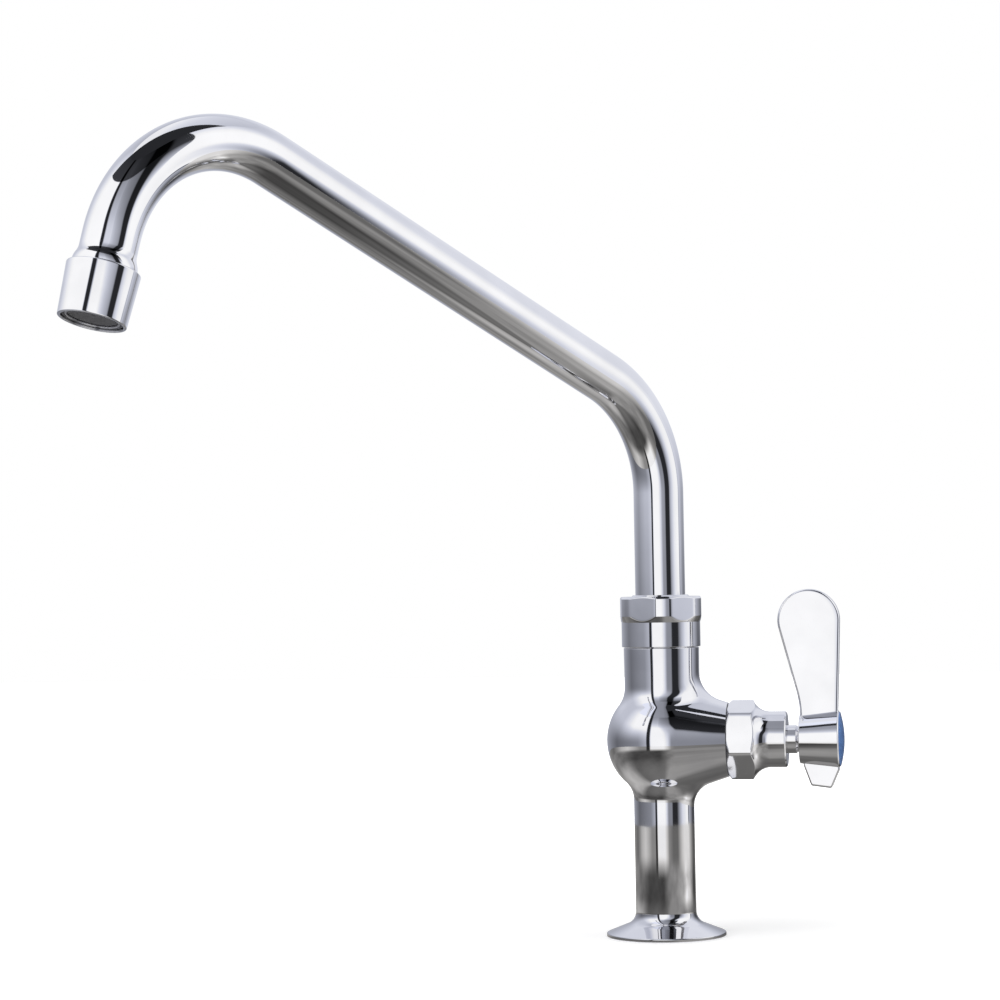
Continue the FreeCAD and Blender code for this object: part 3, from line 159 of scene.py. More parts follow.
def turnPoints(profile, angles, axis, centre=(0, 0, 0)):
    # Each profile point (radius, station) goes round the axis: station along it, radius away from it.
    radius, station = profile[:, 0][:, None], profile[:, 1][:, None]
    along, side, up = axis
    points = (np.array(centre, float)
              + station[..., None] * np.array(along, float)
              + (radius * np.cos(angles))[..., None] * np.array(side, float)
              + (radius * np.sin(angles))[..., None] * np.array(up, float))
    return points.reshape(-1, 3)


def turnedGrid(profile, axis, centre=(0, 0, 0), segments=128, closed=True):
    # A profile turned once round its axis, with its last point joined to its first where it is closed.
    points = turnPoints(profile, fullTurn(segments)[None], axis, centre)
    return points, gridFaces(len(profile), segments, closeRows=closed)


def newMaterial(name):
    material = bpy.data.materials.new(name)
    material.use_nodes = True
    nodes, links = material.node_tree.nodes, material.node_tree.links
    return material, nodes, links, nodes["Principled BSDF"]


def noisePattern(nodes, links, scale, detail=3.0, stretch=(1, 1, 1)):
    place = nodes.new("ShaderNodeTexCoord")
    mapping = nodes.new("ShaderNodeMapping")
    mapping.inputs["Scale"].default_value = stretch
    pattern = nodes.new("ShaderNodeTexNoise")
    pattern.inputs["Scale"].default_value = scale
    pattern.inputs["Detail"].default_value = detail
    links.new(place.outputs["Object"], mapping.inputs["Vector"])
    links.new(mapping.outputs["Vector"], pattern.inputs["Vector"])
    return pattern.outputs["Fac"]


def mapSpan(nodes, links, source, fromSpan, toSpan=(0, 1), interpolation="LINEAR"):
    ramp = nodes.new("ShaderNodeMapRange")
    ramp.interpolation_type = interpolation
    for name, value in zip(("From Min", "From Max", "To Min", "To Max"), (*fromSpan, *toSpan)):
        ramp.inputs[name].default_value = value
    links.new(source, ramp.inputs["Value"])
    return ramp.outputs["Result"]


def spread(nodes, links, noise, low, high):
    # Noise keeps near its middle, so its middle part is what runs from low to high.
    return mapSpan(nodes, links, noise, (0.3, 0.7), (low, high))


def blendColours(nodes, links, source, low, high):
    mix = nodes.new("ShaderNodeMix")
    mix.data_type = "RGBA"
    mix.inputs["A"].default_value = (*low, 1)
    mix.inputs["B"].default_value = (*high, 1)
    links.new(spread(nodes, links, source, 0, 1), mix.inputs["Factor"])
    return mix.outputs["Result"]


def addBump(nodes, links, shader, source, distance):
    bump = nodes.new("ShaderNodeBump")
    bump.inputs["Strength"].default_value = 1.0
    bump.inputs["Distance"].default_value = distance
    links.new(source, bump.inputs["Height"])
    links.new(bump.outputs["Normal"], shader.inputs["Normal"])


def chromeFinish(name, look):
    # Polished plate: a faint long wave left by the buffing wheel, and finer haze in the gloss.
    material, nodes, links, shader = newMaterial(name)
    shader.inputs["Metallic"].default_value = 1.0
    haze = noisePattern(nodes, links, look["hazeScale"])
    links.new(spread(nodes, links, haze, look["roughLow"], look["roughHigh"]), shader.inputs["Roughness"])
    links.new(blendColours(nodes, links, haze, look["dark"], look["light"]), shader.inputs["Base Color"])
    wave = noisePattern(nodes, links, look["waveScale"], detail=1.0, stretch=look.get("stretch", (1, 1, 1)))
    addBump(nodes, links, shader, wave, look["waveHeight"])
    return material


def plainFinish(name, look):
    # A cast, moulded or machined surface: two close colours, a grain in the gloss and a fine bump.
    material, nodes, links, shader = newMaterial(name)
    shader.inputs["Metallic"].default_value = look.get("metallic", 0.0)
    shader.inputs["Coat Weight"].default_value = look.get("coat", 0.0)
    shader.inputs["Specular IOR Level"].default_value = look.get("specular", 0.5)
    grain = noisePattern(nodes, links, look["grainScale"], stretch=look.get("stretch", (1, 1, 1)))
    links.new(blendColours(nodes, links, grain, look["dark"], look["light"]), shader.inputs["Base Color"])
    links.new(spread(nodes, links, grain, look["roughLow"], look["roughHigh"]), shader.inputs["Roughness"])
    addBump(nodes, links, shader, grain, look["bump"])
    return material


castChrome = chromeFinish("castChrome", {
    "dark": (0.80, 0.80, 0.83), "light": (0.88, 0.88, 0.90), "hazeScale": 60,
    "roughLow": 0.02, "roughHigh": 0.05, "waveScale": 70, "stretch": (1, 1, 0.6), "waveHeight": 0.00006,
})
milledLook = {
    "dark": (0.82, 0.82, 0.84), "light": (0.89, 0.89, 0.91), "hazeScale": 90,
    "roughLow": 0.03, "roughHigh": 0.06, "waveScale": 120, "waveHeight": 0.00002,
}
nutChrome = chromeFinish("nutChrome", milledLook)
bonnetChrome = chromeFinish("bonnetChrome", milledLook)
tubeChrome = chromeFinish("tubeChrome", {
    "dark": (0.84, 0.84, 0.86), "light": (0.90, 0.90, 0.92), "hazeScale": 50,
    "roughLow": 0.02, "roughHigh": 0.045, "waveScale": 45, "waveHeight": 0.00003,
})
aeratorChrome = chromeFinish("aeratorChrome", {
    "dark": (0.82, 0.82, 0.84), "light": (0.89, 0.89, 0.91), "hazeScale": 80,
    "roughLow": 0.02, "roughHigh": 0.05, "waveScale": 90, "waveHeight": 0.00001,
})
handleChrome = chromeFinish("handleChrome", {
    "dark": (0.85, 0.85, 0.87), "light": (0.91, 0.91, 0.93), "hazeScale": 60,
    "roughLow": 0.02, "roughHigh": 0.05, "waveScale": 80, "waveHeight": 0.00003,
})
brassFinish = plainFinish("machinedBrass", {
    "dark": (0.62, 0.46, 0.20), "light": (0.76, 0.60, 0.31), "metallic": 1.0, "grainScale": 900,
    "stretch": (1, 1, 6), "roughLow": 0.22, "roughHigh": 0.38, "bump": 0.00001,
})
steelFinish = plainFinish("plainSteel", {
    "dark": (0.52, 0.52, 0.54), "light": (0.68, 0.68, 0.70), "metallic": 1.0, "grainScale": 1200,
    "roughLow": 0.2, "roughHigh": 0.35, "bump": 0.000005,
})
screenFinish = plainFinish("screenWire", {
    "dark": (0.30, 0.30, 0.31), "light": (0.46, 0.46, 0.47), "metallic": 1.0, "grainScale": 2500,
    "roughLow": 0.28, "roughHigh": 0.45, "bump": 0.000002,
})
rubberFinish = plainFinish("blackRubber", {
    "dark": (0.012, 0.012, 0.012), "light": (0.03, 0.03, 0.03), "grainScale": 700,
    "roughLow": 0.55, "roughHigh": 0.75, "specular": 0.35, "bump": 0.00001,
})
slipFinish = plainFinish("whiteAcetal", {
    "dark": (0.80, 0.80, 0.78), "light": (0.88, 0.88, 0.86), "grainScale": 500,
    "roughLow": 0.32, "roughHigh": 0.45, "bump": 0.000004,
})
sealFinish = plainFinish("greySeal", {
    "dark": (0.11, 0.11, 0.12), "light": (0.19, 0.19, 0.20), "grainScale": 800,
    "roughLow": 0.5, "roughHigh": 0.65, "bump": 0.00001,
})
blackPlasticFinish = plainFinish("blackPlastic", {
    "dark": (0.035, 0.035, 0.04), "light": (0.06, 0.06, 0.065), "grainScale": 1100,
    "roughLow": 0.35, "roughHigh": 0.5, "bump": 0.000008,
})
ceramicFinish = plainFinish("lappedCeramic", {
    "dark": (0.86, 0.85, 0.81), "light": (0.92, 0.91, 0.88), "grainScale": 1500,
    "roughLow": 0.08, "roughHigh": 0.2, "coat": 0.2, "bump": 0.000001,
})
capFinish = plainFinish("blueCap", {
    "dark": (0.085, 0.20, 0.50), "light": (0.12, 0.26, 0.60), "grainScale": 300,
    "roughLow": 0.12, "roughHigh": 0.22, "coat": 0.5, "bump": 0.000004,
})
finishOfSlot = {
    "body_chrome": castChrome, "nut_chrome": nutChrome, "bonnet_chrome": bonnetChrome,
    "tube_chrome": tubeChrome, "aerator_chrome": aeratorChrome, "handle_chrome": handleChrome,
    "brass": brassFinish, "steel": steelFinish, "screen": screenFinish, "rubber": rubberFinish,
    "slip_plastic": slipFinish, "seal_plastic": sealFinish, "aerator_plastic": blackPlasticFinish,
    "ceramic": ceramicFinish, "cap_blue": capFinish,
}
slotOfNode = {part["node"]: part["material_slot"] for part in frame["record"]["subparts"]}
for nodeName, node in frame["nodes"].items():
    node.data.materials.clear()
    node.data.materials.append(finishOfSlot[slotOfNode[nodeName]])
print("finishes made:", len(finishOfSlot))

# The column's and the valve's axes, each as (along, side, up).
columnAxis = ((0, 0, 1), (1, 0, 0), (0, 1, 0))
valveAxis = ((1, 0, 0), (0, 1, 0), (0, 0, 1))
valveHeight = frame["joints"][1]["pos_m"][2] / mm
valveCentre = (0, 0, valveHeight)

bodySizes = {
    "flangeRadius": 26.3, "flangeRim": 1.7, "flangeRise": 5.2, "rimRound": 0.55, "footRound": 6.0,
    "columnRadius": 13.3, "columnTop": 56.0, "columnRound": 10.5,
    "bulbRadius": 24.7, "bossRadius": 16.3, "bossEnd": 29.0,
    "neckRadius": 16.5, "neckWaist": 117.5, "neckTopRadius": 16.6, "neckTop": 127.0, "neckRound": 13.0,
    "spigotRadius": 14.5, "spigotTop": 138.0, "socketRadius": 11.5, "socketFloor": 117.0, "outletRadius": 5.2,
    "gasketOuter": 17.0, "gasketInner": 11.5, "gasketDepth": 1.8,
    "soleRound": 0.35, "inletChamfer": (0.5, 0.72), "shoulderRound": 0.4, "spigotRound": 0.5,
    "socketRound": 0.3, "inletRadius": 9.3, "inletDepth": 18.0,
    "threadRootRadius": 10.48, "threadPitch": 1.814, "threadLength": 17.0,
    "threadRows": 84, "threadSharpness": 0.96, "threadFade": 1.2,
    "supplyRadius": 5.5, "supplyTop": 56.0,
    "mouthThreadRadius": 12.0, "chamberRadius": 9.9, "chamberLedge": 19.0, "seat": -6.0,
    "columns": 252, "poleRows": 20, "windowColumns": 28, "windowRows": 60, "windowAngle": 40.0, "bossRows": 26,
    "searchSpan": (5.0, 60.0), "searchSteps": 26, "blendSteps": 4,
}


def bulbDistance(p, s):
    # A ball that runs at a tangent into a cone round the valve's axis: distance and its direction.
    toRim = math.hypot(s["bossEnd"], s["bossRadius"])
    lean = math.atan2(s["bossRadius"], s["bossEnd"]) + math.acos(s["bulbRadius"] / toRim)
    across = np.maximum(np.hypot(p[:, 1], p[:, 2]), tiny)
    length = np.maximum(np.linalg.norm(p, axis=1), tiny)
    onBall = np.arctan2(across, p[:, 0]) >= lean
    coneWay = np.stack([np.full(len(p), math.cos(lean)), math.sin(lean) * p[:, 1] / across,
                        math.sin(lean) * p[:, 2] / across], axis=1)
    way = np.where(onBall[:, None], p / length[:, None], coneWay)
    distance = np.where(onBall, length, (p * coneWay).sum(1)) - s["bulbRadius"]
    return distance, way


def shaftDistance(p, s):
    # The neck above the valve's axis and the column below it, both round the upright axis.
    across = np.maximum(np.hypot(p[:, 0], p[:, 1]), tiny)
    radius = np.where(p[:, 2] > 0, s["neckRadius"], s["columnRadius"])
    way = np.stack([p[:, 0] / across, p[:, 1] / across, np.zeros(len(p))], axis=1)
    return across - radius, way


def castDistance(p, s):
    # The smaller of the two distances, but where a ball of the blend's radius touches both surfaces the
    # distance is to that ball: its centre is found by stepping until it lies one radius from each.
    radius = np.where(p[:, 2] > 0, s["neckRound"], s["columnRound"])
    centre = p.copy()
    for step in range(s["blendSteps"]):
        toBulb, bulbWay = bulbDistance(centre, s)
        toShaft, shaftWay = shaftDistance(centre, s)
        cosine = (bulbWay * shaftWay).sum(1)
        wantBulb = radius - toBulb + (bulbWay * (centre - p)).sum(1)
        wantShaft = radius - toShaft + (shaftWay * (centre - p)).sum(1)
        under = np.maximum(1 - cosine ** 2, 0.02)  # keeps the step short where the surfaces run alongside
        alongBulb = (wantBulb - cosine * wantShaft) / under
        alongShaft = (wantShaft - cosine * wantBulb) / under
        centre = p + alongBulb[:, None] * bulbWay + alongShaft[:, None] * shaftWay
    toBulb, toShaft = bulbDistance(p, s)[0], shaftDistance(p, s)[0]
    inBlend = (alongBulb > 0) & (alongShaft > 0)
    return np.where(inBlend, radius - np.linalg.norm(centre - p, axis=1), np.minimum(toBulb, toShaft))


def castSurface(directions, s):
    # Along each direction from the middle of the bulb, halves the span until it ends on the surface.
    near, far = (np.full(len(directions), end) for end in s["searchSpan"])
    for step in range(s["searchSteps"]):
        middle = (near + far) / 2
        outside = castDistance(directions * middle[:, None], s) > 0
        near, far = np.where(outside, near, middle), np.where(outside, middle, far)
    return directions * ((near + far) / 2)[:, None]


def bodyMiddle(s):
    # Directions by turn round the upright axis and by rise, between the column's ring and the neck's.
    # A window toward the boss is left out and filled by rings that pass from its border to the boss's rim.
    low = -math.degrees(math.atan2(valveHeight - s["columnTop"], s["columnRadius"]))
    high = math.degrees(math.atan2(s["neckWaist"] - valveHeight, s["neckRadius"]))
    half, top = s["windowAngle"], s["poleRows"] + s["windowRows"]
    rises = np.concatenate([np.linspace(low, -half, s["poleRows"], endpoint=False),
                            np.linspace(-half, half, s["windowRows"] + 1),
                            np.linspace(half, high, s["poleRows"] + 1)[1:]])
    columns, side = s["columns"], s["windowColumns"]
    rise, turn = np.meshgrid(np.radians(rises), fullTurn(columns), indexing="ij")
    directions = np.stack([np.cos(rise) * np.cos(turn), np.cos(rise) * np.sin(turn), np.sin(rise)], axis=-1)
    shell = castSurface(directions.reshape(-1, 3), s)
    faces = gridFaces(len(rises), columns).reshape(len(rises) - 1, columns, 4)
    keep = np.ones(faces.shape[:2], bool)
    keep[s["poleRows"]:top, :side] = False
    keep[s["poleRows"]:top, -side:] = False

    rowWay = np.arange(s["poleRows"], top)
    border = np.concatenate([
        s["poleRows"] * columns + np.arange(-side, side) % columns,
        rowWay * columns + side,
        top * columns + np.arange(side, -side, -1) % columns,
        (rowWay[::-1] + 2) * columns - side,
    ])
    borderWay = directions.reshape(-1, 3)[border]
    spin = np.arctan2(borderWay[:, 2], borderWay[:, 1])
    rim = np.stack([np.full(len(spin), s["bossEnd"]), s["bossRadius"] * np.cos(spin),
                    s["bossRadius"] * np.sin(spin)], axis=1)
    rimWay = rim / np.linalg.norm(rim, axis=1)[:, None]
    share = np.linspace(0, 1, s["bossRows"] + 1)[:, None, None]
    ways = (1 - share) * borderWay + share * rimWay
    ways = ways / np.linalg.norm(ways, axis=2)[..., None]
    boss = castSurface(ways.reshape(-1, 3), s)
    boss[-len(rim):] = rim
    shift = np.array([0, 0, valveHeight])
    return [(shell + shift, faces[keep]), (boss + shift, gridFaces(s["bossRows"] + 1, len(border)))], spin


def inletThread(s, columns):
    # Radius swings between the thread's crest and root as a rounded triangle of turn less height over pitch.
    turns = fullTurn(columns)[None]
    heights = np.linspace(s["inletChamfer"][1], s["threadLength"], s["threadRows"])[:, None]
    sharp = s["threadSharpness"]
    phase = np.arcsin(sharp * np.sin(2 * math.pi * heights / s["threadPitch"] - turns)) / math.asin(sharp)
    depth = s["threadRootRadius"] - s["inletRadius"]
    nearerEnd = np.minimum(heights - heights[0], heights[-1] - heights)
    fade = np.clip(nearerEnd / s["threadFade"], 0, 1)
    radius = s["inletRadius"] + depth * fade * (0.5 + 0.5 * phase)
    rise = np.broadcast_to(heights, radius.shape)
    return np.stack([radius * np.cos(turns), radius * np.sin(turns), rise], axis=-1).reshape(-1, 3)


def buildBody(s):
    foot = roundedLine([
        (s["columnRadius"], s["columnTop"]),
        (s["columnRadius"], s["flangeRim"] + s["flangeRise"], s["footRound"]),
        (s["flangeRadius"], s["flangeRim"], s["rimRound"]),
        (s["flangeRadius"], 0, s["soleRound"]),
        (s["gasketOuter"], 0), (s["gasketOuter"], s["gasketDepth"]),
        (s["gasketInner"], s["gasketDepth"]), (s["gasketInner"], 0),
        (s["inletRadius"] + s["inletChamfer"][0], 0), (s["inletRadius"], s["inletChamfer"][1]),
    ])
    supply = roundedLine([
        (s["inletRadius"], s["threadLength"]), (s["inletRadius"], s["inletDepth"]),
        (s["supplyRadius"], s["inletDepth"]), (s["supplyRadius"], s["supplyTop"]),
        (0, s["supplyTop"] + s["supplyRadius"]),
    ], spacing=6)
    top = roundedLine([
        (s["neckRadius"], s["neckWaist"]), (s["neckTopRadius"], s["neckTop"], s["shoulderRound"]),
        (s["spigotRadius"], s["neckTop"]), (s["spigotRadius"], s["spigotTop"], s["spigotRound"]),
        (s["socketRadius"], s["spigotTop"], s["socketRound"]),
        (s["socketRadius"], s["socketFloor"]), (s["outletRadius"], s["socketFloor"]),
        (s["outletRadius"], valveHeight + s["chamberRadius"]), (0, valveHeight + s["chamberRadius"]),
    ], spacing=4)
    mouth = roundedLine([
        (s["bossRadius"], s["bossEnd"]), (s["mouthThreadRadius"], s["bossEnd"]),
        (s["mouthThreadRadius"], s["chamberLedge"]), (s["chamberRadius"], s["chamberLedge"]),
        (s["chamberRadius"], s["seat"]), (0, s["seat"]),
    ], spacing=4)
    middle, spin = bodyMiddle(s)
    columns = s["columns"]
    thread = inletThread(s, columns)
    parts = [
        turnedGrid(foot, columnAxis, segments=columns, closed=False),
        (thread, gridFaces(len(thread) // columns, columns)),
        turnedGrid(supply, columnAxis, segments=columns, closed=False),
        *middle,
        turnedGrid(top, columnAxis, segments=columns, closed=False),
        (turnPoints(mouth, spin[None], valveAxis, valveCentre), gridFaces(len(mouth), len(spin))),
    ]
    points, faces = joinGrids(parts)
    makePiece("castBody", points * mm, faces, castChrome, "faucet", ["faucet_body"],
              mergeGap=4e-6)


buildBody(bodySizes)
print("cast body made")

nutSizes = {
    "bottom": 127.25, "skirtRadius": 17.35, "hexBottom": 138.15, "hexTop": 149.35,
    "apothem": 17.6, "cornerRadius": 18.7,
    "lowerChamfer": 2.6, "topChamfer": 0.9, "topChamferWidth": 1.44, "flatAngle": 10.0, "edgeRound": 0.3,
    "lipRadius": 12.1, "lipHeight": 0.7, "boreRadius": 11.3, "ceiling": 144.05, "threadRadius": 14.65,
}
bonnetSizes = {
    "face": 29.4, "faceRadius": 16.0, "backChamfer": 1.2, "apothem": 15.5, "cornerRadius": 17.7,
    "flatAngle": 46.0, "taperRound": 8.0, "taperEnd": 47.5, "noseRadius": 12.25,
    "end": 54.8, "endChamfer": 0.6, "edgeRound": 0.3,
    "mouthRadius": 6.5, "mouthDepth": 4.0, "boreRadius": 7.6, "threadRadius": 11.85, "tip": 21.5,
}


def crowded(count, share):
    # From -1 to 1, closer together in the middle than at the ends.
    even = np.linspace(-1, 1, count)
    return even ** 3 * share + even * (1 - share)


def flatsColumns(flatAngle, halfFlat, flatCount=37, cornerCount=25):
    # Column angles for six flats and the six round corners between them.
    edge = np.radians(halfFlat)
    land = math.radians(30) - edge
    corner = crowded(cornerCount, 0.3)[1:-1]
    sector = np.concatenate([crowded(flatCount, 0.35) * edge, edge + land + corner * land])
    return np.concatenate([sector + math.radians(flatAngle + 60 * k) for k in range(6)])


def milledRadius(profileRadius, angles, apothem, flatAngle, edgeRound):
    # The smaller of the turned radius and the distance to the nearest of six flats, joined by a small round.
    turn = (angles - math.radians(flatAngle) + math.pi / 6) % (math.pi / 3) - math.pi / 6
    flatRadius = apothem / np.cos(turn)
    nearness = np.clip(1 - np.abs(profileRadius - flatRadius) / edgeRound, 0, 1)
    return np.minimum(profileRadius, flatRadius) - nearness ** 2 * edgeRound / 4


def milledPiece(name, outer, inner, axis, centre, s, material, replaced):
    # The outer profile is milled, the inner one is left round, and both join into one closed skin.
    halfFlat = math.degrees(math.acos(s["apothem"] / s["cornerRadius"]))
    angles = flatsColumns(s["flatAngle"], halfFlat)
    radius = milledRadius(outer[:, 0][:, None], angles[None], s["apothem"], s["flatAngle"], s["edgeRound"])
    along, side, up = (np.array(v, float) for v in axis)
    shell = (np.array(centre, float) + outer[:, 1][:, None, None] * along
             + (radius * np.cos(angles))[..., None] * side + (radius * np.sin(angles))[..., None] * up)
    core = turnPoints(inner, angles[None], axis, centre)
    points = np.concatenate([shell.reshape(-1, 3), core])
    faces = gridFaces(len(outer) + len(inner), len(angles), closeRows=True)
    makePiece(name, points * mm, faces, material, "faucet", [replaced])


def buildSpoutNut(s):
    outer = roundedLine([
        (s["skirtRadius"] - 0.5, s["bottom"]), (s["skirtRadius"], s["bottom"], 0.3),
        (s["skirtRadius"], s["hexBottom"], 0.25),
        (s["cornerRadius"], s["hexBottom"] + s["lowerChamfer"], 0.5),
        (s["cornerRadius"], s["hexTop"] - s["topChamfer"], 0.3),
        (s["cornerRadius"] - s["topChamferWidth"], s["hexTop"], 0.3),
        (s["lipRadius"] + s["lipHeight"] + 2, s["hexTop"]),
    ], spacing=0.3)
    inner = roundedLine([
        (s["lipRadius"] + s["lipHeight"] + 1, s["hexTop"]), (s["lipRadius"] + s["lipHeight"], s["hexTop"], 0.2),
        (s["lipRadius"], s["hexTop"] + s["lipHeight"], 0.2),
        (s["boreRadius"], s["hexTop"] + s["lipHeight"], 0.2),
        (s["boreRadius"], s["ceiling"]), (s["threadRadius"], s["ceiling"]),
        (s["threadRadius"], s["bottom"], 0.2),
        (s["skirtRadius"] - 0.8, s["bottom"]),
    ], spacing=3)
    milledPiece("spoutNut", outer, inner, columnAxis, (0, 0, 0), s, nutChrome, "spout_nut")


def buildBonnet(s):
    # The taper is a hollow arc that meets the nose at a tangent and runs out at the hexagon's corners.
    drop = s["taperRound"] - (s["cornerRadius"] - s["noseRadius"])
    reach = math.sqrt(s["taperRound"] ** 2 - drop ** 2)
    arc = np.linspace(math.asin(reach / s["taperRound"]), 0, 34)
    taper = np.stack([s["noseRadius"] + s["taperRound"] * (1 - np.cos(arc)),
                      s["taperEnd"] - s["taperRound"] * np.sin(arc)], axis=1)
    back = roundedLine([
        (s["faceRadius"] - 1.2, s["face"]), (s["faceRadius"], s["face"], 0.25),
        (s["cornerRadius"], s["face"] + s["backChamfer"], 0.3), (s["cornerRadius"], s["taperEnd"] - reach),
    ], spacing=0.3)
    nose = roundedLine([
        (s["noseRadius"], s["taperEnd"]), (s["noseRadius"], s["end"] - s["endChamfer"], 0.25),
        (s["noseRadius"] - s["endChamfer"], s["end"], 0.25), (s["noseRadius"] - 2, s["end"]),
    ], spacing=0.6)
    inner = roundedLine([
        (s["noseRadius"] - 3, s["end"]), (s["mouthRadius"], s["end"], 0.3),
        (s["mouthRadius"], s["end"] - s["mouthDepth"]), (s["boreRadius"], s["end"] - s["mouthDepth"]),
        (s["boreRadius"], s["tip"]), (s["threadRadius"], s["tip"]),
        (s["threadRadius"], s["face"]), (s["faceRadius"] - 1.8, s["face"]),
    ], spacing=3)
    outer = np.concatenate([back, taper[1:-1], nose])
    milledPiece("bonnetNut", outer, inner, valveAxis, valveCentre, s, bonnetChrome,
                "bonnet_nut")


buildSpoutNut(nutSizes)
buildBonnet(bonnetSizes)
print("nuts made")

# The spout is a bent tube in an upright plane, turned about the column.
spoutSizes = {
    "start": 143.0, "riserTop": 195.0, "bendRadius": 55.0, "firstBend": 66.2, "armLength": 196.7,
    "secondBend": 97.8, "tipLength": 12.8, "tubeRadius": 11.0, "wall": 1.2, "flareLength": 7.0,
    "flareRadius": 12.5, "flareStep": 0.6, "tipRadius": 12.2, "tipThread": 8.4, "spoutAngle": 232.0,
    "segments": 96, "runRows": (20, 50, 60, 72, 6), "flareRows": 22, "boreSkip": 3,
}


def spoutCentre(lengths, s):
    # Along the tube: up, round the first bend, out along the arm, round the second bend, down the tip.
    # Heading is the angle from upright, which grows with length only inside the two bends.
    radius = s["bendRadius"]
    riser = s["riserTop"] - s["start"]
    bends = np.radians([s["firstBend"], s["secondBend"]])
    marks = np.cumsum([riser, radius * bends[0], s["armLength"], radius * bends[1]])
    first = np.clip(lengths - marks[0], 0, marks[1] - marks[0]) / radius
    second = np.clip(lengths - marks[2], 0, marks[3] - marks[2]) / radius
    heading = first + second
    up = np.clip(lengths, 0, marks[0])
    arm = np.clip(lengths - marks[1], 0, s["armLength"])
    tip = np.maximum(lengths - marks[3], 0)
    total = bends.sum()
    reach = (radius * (1 - np.cos(first)) + arm * math.sin(bends[0])
             + radius * (math.cos(bends[0]) - np.cos(bends[0] + second)) + tip * math.sin(total))
    height = (s["start"] + up + radius * np.sin(first) + arm * math.cos(bends[0])
              + radius * (np.sin(bends[0] + second) - math.sin(bends[0])) + tip * math.cos(total))
    return reach, height, heading, marks


def inSpoutPlane(reach, height, aside):
    # From the spout's own plane to the part's frame.
    turn = math.radians(spoutSizes["spoutAngle"])
    return np.stack([reach * math.cos(turn) - aside * math.sin(turn),
                     reach * math.sin(turn) + aside * math.cos(turn), height], axis=-1)


def buildTube(s):
    # Rows follow the centre line, round circles square to its heading. The outer skin swells into the
    # flare along an S of two equal arcs, and the bore goes back on every third row.
    marks = spoutCentre(np.zeros(1), s)[3]
    end = marks[3] + s["tipLength"]
    flareStart, flareEnd = end - s["flareLength"], end - s["flareStep"]
    stops = [0, *marks, flareStart]
    runs = [np.linspace(first, last, rows)[:-1] for first, last, rows in zip(stops, stops[1:], s["runRows"])]
    stations = np.concatenate([*runs, np.linspace(flareStart, flareEnd, s["flareRows"]),
                               [end - s["flareStep"] / 2, end]])
    rise, widening = s["flareLength"] - s["flareStep"], s["flareRadius"] - s["tubeRadius"]
    curve = (rise ** 2 + widening ** 2) / (4 * widening)
    into = np.clip(stations - flareStart, 0, rise)
    nearer = np.minimum(into, rise - into)
    sag = curve - np.sqrt(curve ** 2 - nearer ** 2)
    outer = np.where(into < rise / 2, s["tubeRadius"] + sag, s["flareRadius"] - sag)
    back, bore = stations[::-s["boreSkip"]], s["tubeRadius"] - s["wall"]
    stations = np.concatenate([stations, [end, end + s["tipThread"], end + s["tipThread"]], back])
    radii = np.concatenate([outer, [s["tipRadius"], s["tipRadius"], bore], np.full(len(back), bore)])
    reach, height, heading, marks = spoutCentre(stations, s)
    angles = fullTurn(s["segments"])
    outward = radii[:, None] * np.cos(angles)
    points = inSpoutPlane(reach[:, None] - outward * np.cos(heading)[:, None],
                          height[:, None] + outward * np.sin(heading)[:, None],
                          radii[:, None] * np.sin(angles))
    faces = gridFaces(len(stations), s["segments"], closeRows=True)
    points = points.reshape(-1, 3) * mm
    makePiece("spoutTube", points, faces, tubeChrome, "spout", ["spout_tube"])


buildTube(spoutSizes)
print("spout made")

aeratorSizes = {
    "collarLength": 21.0, "topRadius": 14.2, "mouthRadius": 13.2, "chamfer": 0.8, "boreRadius": 11.9,
    "threadRadius": 12.35, "ledge": 9.4, "collarSegments": 128,
    "ringOuter": 10.6, "ringInner": 9.8, "ringBottom": 0.9, "ringThickness": 0.7, "ringSegments": 96,
    "screenHeight": 1.8, "wireRadius": 0.09, "wirePitch": 0.62, "wirePoints": 61, "wireSides": 5,
    "wireEndGap": 0.15, "shortestReach": 0.2,
}


def outletFrame():
    # The mouth's centre, and the axis that runs from it back into the tube.
    marks = spoutCentre(np.zeros(1), spoutSizes)[3]
    end = marks[3] + spoutSizes["tipLength"] + aeratorSizes["collarLength"]
    reach, height, heading, marks = spoutCentre(np.array([end]), spoutSizes)
    centre = inSpoutPlane(reach, height, np.zeros(1))[0]
    inward = -inSpoutPlane(np.sin(heading), np.cos(heading), np.zeros(1))[0]
    side = inSpoutPlane(np.zeros(1), np.zeros(1), np.ones(1))[0]
    return centre, (inward, side, np.cross(inward, side))


mouthCentre, outletAxis = outletFrame()


def buildCollar(s):
    profile = roundedLine([
        (s["boreRadius"], 0, 0.2), (s["mouthRadius"], 0, 0.35),
        (s["topRadius"], s["collarLength"] - s["chamfer"] / 2, 0.5),
        (s["topRadius"] - s["chamfer"], s["collarLength"], 0.2),
        (s["threadRadius"], s["collarLength"]), (s["threadRadius"], s["ledge"]), (s["boreRadius"], s["ledge"]),
    ], closed=True, spacing=1.0)
    points, faces = turnedGrid(profile, outletAxis, mouthCentre, s["collarSegments"])
    makePiece("aeratorCollar", points * mm, faces, aeratorChrome, "spout",
              ["aerator_housing"])


def buildScreenRing(s):
    top = s["ringBottom"] + s["ringThickness"]
    profile = roundedLine([
        (s["ringInner"], s["ringBottom"], 0.2), (s["ringOuter"], s["ringBottom"], 0.2),
        (s["ringOuter"], top), (s["ringInner"], top, 0.2),
    ], closed=True)
    points, faces = turnedGrid(profile, outletAxis, mouthCentre, s["ringSegments"])
    makePiece("screenRing", points * mm, faces, steelFinish, "spout", ["screen_ring"])


